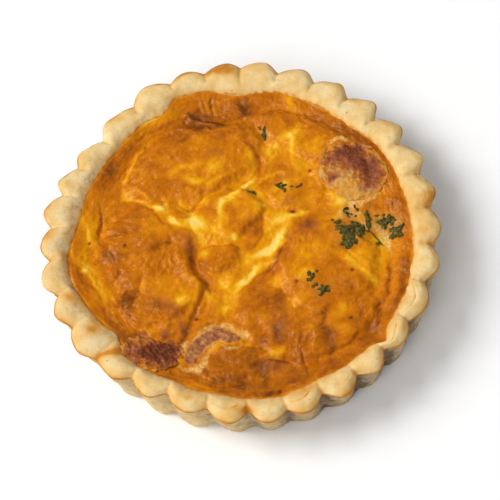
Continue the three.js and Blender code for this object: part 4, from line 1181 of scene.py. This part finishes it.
def buildBlade(name, blade, cells=80):
    piece = discGrid(name, cells)
    start = getPoints(piece)
    seed = parsley["seed"]
    out = np.hypot(start[:, 0], start[:, 1])
    turn = np.arctan2(start[:, 1], start[:, 0])
    circle = np.column_stack((np.cos(turn), np.sin(turn), 0 * out)) * 2
    jagged = 1 + 0.45 * lumpyNoise(circle, 0.55, seed) + 0.35 * lumpyNoise(circle, 0.25, seed + 1)
    reach = bladeReach(blade, np.degrees(turn)) * np.clip(jagged, 0.5, 1.2)
    x = blade[0] + out * reach * np.cos(turn)
    y = blade[1] + out * reach * np.sin(turn)
    flat = np.column_stack((x, y, 0 * x))
    curl = 0.4 * lumpyNoise(flat, 1.7, seed + 2) + 0.4 * lumpyNoise(flat, 0.8, seed + 3)
    z = custardTop(x, y) + 0.6 * skinRelief(x, y) + parsley["above"]
    z += curl * (0.4 + 0.6 * out) - 0.45 * out ** 3    # the edges droop onto the skin
    setPoints(piece, np.column_stack((x, y, z)))
    sheet = piece.modifiers.new("thickness", "SOLIDIFY")
    sheet.thickness = parsley["thickness"] * mm
    sheet.offset = 0
    bpy.ops.object.modifier_apply(modifier="thickness")
    return piece


def buildStem(name, route):
    radius = parsley["stemRadius"]
    piece, place, ahead, side, up, share = buildAlong(name, route, radius, radius, 16, 60)
    x = place[:, 0] - ahead[:, 1] * side
    y = place[:, 1] + ahead[:, 0] * side
    z = skinHeight(place[:, 0], place[:, 1]) + up + 0.3
    setPoints(piece, np.column_stack((x, y, z)))
    return piece


def joined(pieces, name):
    deselectAll()
    for piece in pieces:
        piece.select_set(True)
    bpy.context.view_layer.objects.active = pieces[0]
    if len(pieces) > 1:
        bpy.ops.object.join()
    piece = bpy.context.object
    piece.name = name
    editAll()
    bpy.ops.mesh.normals_make_consistent(inside=False)
    bpy.ops.object.mode_set(mode="OBJECT")
    bpy.ops.object.shade_smooth()
    return piece


def buildLeaf(name):
    parts = []
    for blade in parsley["blades"][name]:
        deselectAll()
        parts.append(buildBlade("blade", blade))
    if name == "parsley-sprig":
        for route in parsley["stems"]:
            deselectAll()
            parts.append(buildStem("stem", route))
    return joined(parts, name)


def buildCrumbs():
    parts = []
    for index, (x0, y0, long, wide, turn) in enumerate(parsley["crumbs"]):
        deselectAll()
        bpy.ops.mesh.primitive_ico_sphere_add(subdivisions=3, radius=1)
        piece = bpy.context.object
        ball = getPoints(piece)
        ball *= (1 + 0.6 * lumpyNoise(ball, 0.7, 60 + index))[:, None]
        turned = math.radians(turn)
        along = 1.1 * long * ball[:, 0]
        across = 1.4 * wide * (ball[:, 1] + 0.3 * ball[:, 0] ** 2)
        x = x0 + along * math.cos(turned) - across * math.sin(turned)
        y = y0 + along * math.sin(turned) + across * math.cos(turned)
        z = skinHeight(np.array([x0]), np.array([y0]))[0] + 0.05 + 0.24 * ball[:, 2]
        setPoints(piece, np.column_stack((x, y, z)))
        parts.append(piece)
    for shred in parsley["shreds"]:
        deselectAll()
        parts.append(buildBlade("shred", shred, 40))
    for x0, y0, radius in parsley["curls"]:
        ring = [(x0 + radius * math.cos(a), y0 + radius * math.sin(a)) for a in np.linspace(0.4, 5.2, 12)]
        deselectAll()
        piece, place, ahead, side, up, share = buildAlong("curl", ring, 0.17, 0.4, 12, 60)
        x = place[:, 0] - ahead[:, 1] * side
        y = place[:, 1] + ahead[:, 0] * side
        setPoints(piece, np.column_stack((x, y, skinHeight(place[:, 0], place[:, 1]) + up + 0.15)))
        parts.append(piece)
    return joined(parts, "parsley-crumbs")


parsleyPieces = []
for leafName, leafNode in parsley["nodes"].items():
    parsleyPieces.append(buildLeaf(leafName))
    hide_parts(leafNode)
parsleyPieces.append(buildCrumbs())
for parsleyPiece in parsleyPieces:
    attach(parsleyPiece, "root")
print("parsley built,", sum(len(piece.data.polygons) for piece in parsleyPieces), "faces")


# materials

def newMaterial(name):
    material = bpy.data.materials.new(name)
    material.use_nodes = True
    nodes = material.node_tree.nodes
    return material, nodes, material.node_tree.links, nodes["Principled BSDF"]


def srgb(red, green, blue):
    # a colour given from 0 to 255, as the linear values a shader wants
    parts = [part / 255 for part in (red, green, blue)]
    return tuple(part / 12.92 if part <= 0.04 else ((part + 0.055) / 1.055) ** 2.4 for part in parts) + (1,)


def attributeNode(nodes, name):
    node = nodes.new("ShaderNodeAttribute")
    node.attribute_name = name
    return node.outputs["Fac"]


def noiseNode(nodes, links, size, detail=4, roughness=0.55, kind="FBM"):
    # noise with grains of about that size in millimetres
    place = nodes.new("ShaderNodeTexCoord")
    node = nodes.new("ShaderNodeTexNoise")
    node.noise_type = kind
    node.inputs["Scale"].default_value = 1 / (size * mm)
    node.inputs["Detail"].default_value = detail
    node.inputs["Roughness"].default_value = roughness
    links.new(place.outputs["Object"], node.inputs["Vector"])
    return node.outputs["Fac"]


def rampNode(nodes, links, source, stops):
    node = nodes.new("ShaderNodeValToRGB")
    ramp = node.color_ramp
    while len(ramp.elements) < len(stops):
        ramp.elements.new(0.5)
    for element, (place, colour) in zip(ramp.elements, stops):
        element.position = place
        element.color = colour
    links.new(source, node.inputs["Fac"])
    return node.outputs["Color"]


def feed(links, socket, value):
    # a fixed value, or what another node gives
    if isinstance(value, (int, float, tuple)):
        socket.default_value = value
    else:
        links.new(value, socket)


def mixNode(nodes, links, share, first, second, blend="MIX"):
    node = nodes.new("ShaderNodeMix")
    node.data_type = "RGBA"
    node.blend_type = blend
    feed(links, node.inputs["Factor"], share)
    feed(links, node.inputs["A"], first)
    feed(links, node.inputs["B"], second)
    return node.outputs["Result"]


def mathNode(nodes, links, operation, first, second):
    node = nodes.new("ShaderNodeMath")
    node.operation = operation
    feed(links, node.inputs[0], first)
    feed(links, node.inputs[1], second)
    return node.outputs["Value"]


def bumpNode(nodes, links, height, strength, distance, under=None):
    node = nodes.new("ShaderNodeBump")
    node.inputs["Strength"].default_value = strength
    node.inputs["Distance"].default_value = distance * mm
    links.new(height, node.inputs["Height"])
    if under:
        links.new(under, node.inputs["Normal"])
    return node.outputs["Normal"]


def greys(*stops):
    return [(place, (value, value, value, 1)) for place, value in stops]


def swing(nodes, links, noise, by):
    # the noise's ups and downs about its middle, times that much
    level = mathNode(nodes, links, "SUBTRACT", noise, 0.5)
    return mathNode(nodes, links, "MULTIPLY", level, by)


def blotches(nodes, links, name, grain, detail, *stops):
    # where a painted attribute shows, broken up by noise
    broken = noiseNode(nodes, links, grain, detail, 0.6)
    amount = mathNode(nodes, links, "MULTIPLY", attributeNode(nodes, name), broken)
    return rampNode(nodes, links, amount, greys(*stops))


pastryLook = {
    "dough": [(0.3, srgb(220, 181, 110)), (0.5, srgb(231, 200, 139)), (0.7, srgb(238, 215, 163))],
    "fleck": srgb(218, 164, 84),
    "wall": [(0.34, srgb(118, 92, 64)), (0.46, srgb(172, 148, 116)), (0.66, srgb(208, 188, 158))],
    # the colour of the painted shade in the wall's grooves
    "creviceShade": srgb(98, 74, 46),
    "gold": [
        (0.2, srgb(227, 180, 98)), (0.55, srgb(212, 150, 60)), (0.8, srgb(190, 120, 34)),
        (1.0, srgb(156, 88, 20)),
    ],
    "dot": srgb(120, 76, 34),
    "dotApart": 4.5,
    "roughness": 0.75,
    "specular": 0.2,
}


def pastryMaterial():
    material, nodes, links, shader = newMaterial("baked pastry")
    cloud = noiseNode(nodes, links, 5, 4)
    dough = rampNode(nodes, links, cloud, pastryLook["dough"])
    fleck = rampNode(nodes, links, noiseNode(nodes, links, 1.5, 6, 0.7), greys((0.5, 0), (0.72, 0.5)))
    dough = mixNode(nodes, links, fleck, dough, pastryLook["fleck"])
    # the wall's grey dough, mixed in by the wall attribute, which also carries painted shade and painted
    # light
    wall = rampNode(nodes, links, noiseNode(nodes, links, 2.2, 6, 0.7), pastryLook["wall"])
    base = mixNode(nodes, links, attributeNode(nodes, "wall"), dough, wall)
    # painted shade in the wall's grooves on the front right
    creviceShade = rampNode(nodes, links, attributeNode(nodes, "creviceShade"), greys((0.08, 0), (0.6, 0.75)))
    base = mixNode(nodes, links, creviceShade, base, pastryLook["creviceShade"])
    grain = noiseNode(nodes, links, 0.4, 4, 0.75)
    sand = rampNode(nodes, links, grain, greys((0.3, 0.72), (0.48, 0.97), (0.62, 1.0)))
    base = mixNode(nodes, links, 1.0, base, sand, "MULTIPLY")
    gold = mathNode(nodes, links, "ADD", attributeNode(nodes, "gold"), swing(nodes, links, grain, 0.3))
    goldShare = rampNode(nodes, links, gold, greys((0.08, 0), (0.7, 1)))
    goldColour = rampNode(nodes, links, gold, pastryLook["gold"])
    colour = mixNode(nodes, links, goldShare, base, goldColour)
    dots = nodes.new("ShaderNodeTexVoronoi")
    dots.inputs["Scale"].default_value = 1 / (pastryLook["dotApart"] * mm)
    links.new(nodes.new("ShaderNodeTexCoord").outputs["Object"], dots.inputs["Vector"])
    dot = rampNode(nodes, links, dots.outputs["Distance"], greys((0.03, 0.7), (0.07, 0)))
    colour = mixNode(nodes, links, dot, colour, pastryLook["dot"])
    links.new(colour, shader.inputs["Base Color"])
    shader.inputs["Roughness"].default_value = pastryLook["roughness"]
    shader.inputs["Specular IOR Level"].default_value = pastryLook["specular"]
    crumb = bumpNode(nodes, links, noiseNode(nodes, links, 1.3, 5, 0.65), 0.45, 0.35)
    crumb = bumpNode(nodes, links, grain, 0.4, 0.16, crumb)
    links.new(crumb, shader.inputs["Normal"])
    return material


custardLook = {
    "skin": [
        (0.0, srgb(246, 206, 100)), (0.13, srgb(238, 182, 40)), (0.3, srgb(222, 146, 0)),
        (0.48, srgb(204, 120, 0)), (0.64, srgb(184, 100, 0)), (0.8, srgb(154, 80, 2)),
        (1.0, srgb(104, 50, 8)),
    ],
    # colour of the painted glint along the wrinkles' tops
    "wrinkleGlint": srgb(222, 146, 48),
    # tan of the drier spots, partly a painted sheen
    "dry": srgb(208, 130, 40),
    "foam": [(0.38, srgb(196, 138, 60)), (0.6, srgb(230, 184, 102))],
    "dusk": srgb(156, 88, 46),
    "olive": srgb(168, 124, 52),
    "roughness": (0.14, 0.3),    # where it is moist, and where it is dry
    "specular": 0.27,
    "specularTint": (1, 0.8, 0.5, 1),
}


def custardMaterial():
    material, nodes, links, shader = newMaterial("browned custard skin")
    mottle = swing(nodes, links, noiseNode(nodes, links, 1.4, 6, 0.7), 0.22)
    toast = mathNode(nodes, links, "ADD", attributeNode(nodes, "toast"), mottle)
    skin = rampNode(nodes, links, toast, custardLook["skin"])
    # thin wrinkles, only here and there, with a painted glint a little paler along their tops
    wrinkle = noiseNode(nodes, links, 2.6, 3, 0.6, "RIDGED_MULTIFRACTAL")
    wrinkle.node.inputs["Offset"].default_value = 1
    wrinkle.node.inputs["Distortion"].default_value = 0.5
    wrinkle = mathNode(nodes, links, "MULTIPLY", wrinkle, 0.6)
    wrinkled = rampNode(nodes, links, noiseNode(nodes, links, 4, 3), greys((0.46, 0), (0.62, 1)))
    wrinkle = mathNode(nodes, links, "MULTIPLY", wrinkle, wrinkled)
    wrinkleGlint = rampNode(nodes, links, wrinkle, greys((0.6, 0), (0.86, 0.16)))
    skin = mixNode(nodes, links, wrinkleGlint, skin, custardLook["wrinkleGlint"])
    # drier, duller spots, whose tan is partly a painted sheen
    dullSheenShare = rampNode(nodes, links, noiseNode(nodes, links, 2.4, 6, 0.75), greys((0.56, 0), (0.68, 0.4)))
    skin = mixNode(nodes, links, dullSheenShare, skin, custardLook["dry"])
    # what lies on the skin: pale foam, dusky places that are partly a painted dull sheen, and olive places
    paleShare = blotches(nodes, links, "pale", 1.6, 4, (0.14, 0), (0.42, 0.95))
    foam = rampNode(nodes, links, noiseNode(nodes, links, 0.6, 3, 0.6), custardLook["foam"])
    colour = mixNode(nodes, links, paleShare, skin, foam)
    duskShare = blotches(nodes, links, "dusk", 1.2, 4, (0.1, 0), (0.6, 0.85))
    colour = mixNode(nodes, links, duskShare, colour, custardLook["dusk"])
    oliveShare = blotches(nodes, links, "olive", 0.8, 3, (0.1, 0), (0.6, 0.8))
    colour = mixNode(nodes, links, oliveShare, colour, custardLook["olive"])
    links.new(colour, shader.inputs["Base Color"])
    moist, dry = custardLook["roughness"]
    gloss = rampNode(nodes, links, noiseNode(nodes, links, 2.2, 3), greys((0.35, moist), (0.65, dry)))
    links.new(gloss, shader.inputs["Roughness"])
    shader.inputs["Specular IOR Level"].default_value = custardLook["specular"]
    shader.inputs["Specular Tint"].default_value = custardLook["specularTint"]
    crinkle = bumpNode(nodes, links, noiseNode(nodes, links, 1.4, 5, 0.62), 0.6, 0.38)
    crinkle = bumpNode(nodes, links, wrinkle, 0.16, 0.2, crinkle)
    crinkle = bumpNode(nodes, links, noiseNode(nodes, links, 0.6, 3, 0.5), 0.45, 0.2, crinkle)
    links.new(crinkle, shader.inputs["Normal"])
    return material


# the stops go from where egg covers the meat to where it is bare
hamLook = {
    "rust": [
        (0.0, srgb(206, 142, 46)), (0.2, srgb(192, 122, 34)), (0.42, srgb(168, 94, 30)),
        (0.62, srgb(146, 76, 28)), (0.82, srgb(122, 58, 22)), (1.0, srgb(98, 44, 14)),
    ],
    "mauve": [
        (0.0, srgb(208, 154, 72)), (0.2, srgb(190, 132, 62)), (0.42, srgb(166, 104, 58)),
        (0.62, srgb(148, 82, 48)), (0.82, srgb(136, 72, 42)), (1.0, srgb(116, 56, 30)),
    ],
    "roughness": 0.55,
    "specular": 0.2,
}


def hamMaterial():
    material, nodes, links, shader = newMaterial("roasted ham")
    grain = swing(nodes, links, noiseNode(nodes, links, 0.9, 4, 0.8), 1.1)
    meat = mathNode(nodes, links, "ADD", attributeNode(nodes, "meat"), grain)
    rust = rampNode(nodes, links, meat, hamLook["rust"])
    mauve = rampNode(nodes, links, meat, hamLook["mauve"])
    colour = mixNode(nodes, links, attributeNode(nodes, "rust"), mauve, rust)
    links.new(colour, shader.inputs["Base Color"])
    shader.inputs["Roughness"].default_value = hamLook["roughness"]
    shader.inputs["Specular IOR Level"].default_value = hamLook["specular"]
    crumb = bumpNode(nodes, links, noiseNode(nodes, links, 0.6, 4, 0.7), 0.7, 0.3)
    links.new(crumb, shader.inputs["Normal"])
    return material


parsleyLook = {
    "leaf": [
        (0.3, srgb(50, 50, 12)), (0.48, srgb(72, 68, 20)), (0.6, srgb(98, 86, 32)),
        (0.72, srgb(142, 112, 48)),
    ],
    "roughness": 0.45,
    "specular": 0.2,
}


def parsleyMaterial():
    material, nodes, links, shader = newMaterial("baked parsley")
    cloud = noiseNode(nodes, links, 1.1, 4, 0.6)
    colour = rampNode(nodes, links, cloud, parsleyLook["leaf"])
    links.new(colour, shader.inputs["Base Color"])
    shader.inputs["Roughness"].default_value = parsleyLook["roughness"]
    shader.inputs["Specular IOR Level"].default_value = parsleyLook["specular"]
    crumple = bumpNode(nodes, links, noiseNode(nodes, links, 0.5, 3), 0.5, 0.2)
    links.new(crumple, shader.inputs["Normal"])
    return material


def wear(piece, material):
    piece.data.materials.clear()
    piece.data.materials.append(material)


wear(crust, pastryMaterial())
wear(filling, custardMaterial())
hamFinish = hamMaterial()
parsleyFinish = parsleyMaterial()
for hamPiece in hamPieces:
    wear(hamPiece, hamFinish)
for parsleyPiece in parsleyPieces:
    wear(parsleyPiece, parsleyFinish)
print("materials made")


# floor, light and camera

studio = {
    "floorSize": 4,
    "floorColour": (0.92, 0.92, 0.92, 1),
    "worldStrength": 0.42,
    # place in metres, size, watts
    "lights": [
        ((-2.0, 0.35, 2.3), 1.5, 73), ((-1.1, -1.6, 2.3), 1.2, 20),
    ],
}
view = {
    "elevation": 63.4,
    "roll": 9.6,
    "distance": 707,
    "lens": 169,
    "rimPlane": 20,
    "aimRight": 2.74,    # the view's middle lies right of and below the middle of the rim
    "aimDown": 4.61,
}


def buildStudio():
    deselectAll()
    bpy.ops.mesh.primitive_plane_add(size=studio["floorSize"])
    floor = bpy.context.object
    floor.name = "floor"
    material, _, _, shader = newMaterial("pale floor")
    shader.inputs["Base Color"].default_value = studio["floorColour"]
    shader.inputs["Roughness"].default_value = 0.8
    wear(floor, material)
    world = bpy.data.worlds.new("studio")
    world.use_nodes = True
    sky = world.node_tree.nodes["Background"]
    sky.inputs["Color"].default_value = (1, 1, 1, 1)
    sky.inputs["Strength"].default_value = studio["worldStrength"]
    bpy.context.scene.world = world
    for place, size, watts in studio["lights"]:
        bpy.ops.object.light_add(type="AREA", location=place)
        lamp = bpy.context.object
        lamp.data.size = size
        lamp.data.energy = watts
        lamp.rotation_euler = (-Vector(place)).to_track_quat("-Z", "Y").to_euler()


def buildCamera():
    tilt = math.radians(view["elevation"])
    roll = math.radians(view["roll"])
    forward = Vector((0, math.cos(tilt), -math.sin(tilt)))
    level = Vector((1, 0, 0))
    up = Vector((0, math.sin(tilt), math.cos(tilt)))
    right = math.cos(roll) * level - math.sin(roll) * up
    above = math.sin(roll) * level + math.cos(roll) * up
    aim = Vector((0, 0, view["rimPlane"])) + view["aimRight"] * right - view["aimDown"] * above
    bpy.ops.object.camera_add(location=(aim - view["distance"] * forward) * mm)
    camera = bpy.context.object
    camera.rotation_euler = Matrix((right, above, -forward)).transposed().to_euler()
    camera.data.lens = view["lens"]
    camera.data.clip_start = 0.01
    camera.data.clip_end = 20
    bpy.context.scene.camera = camera


buildStudio()
buildCamera()
bpy.context.scene.view_settings.view_transform = "Standard"
print("studio ready")
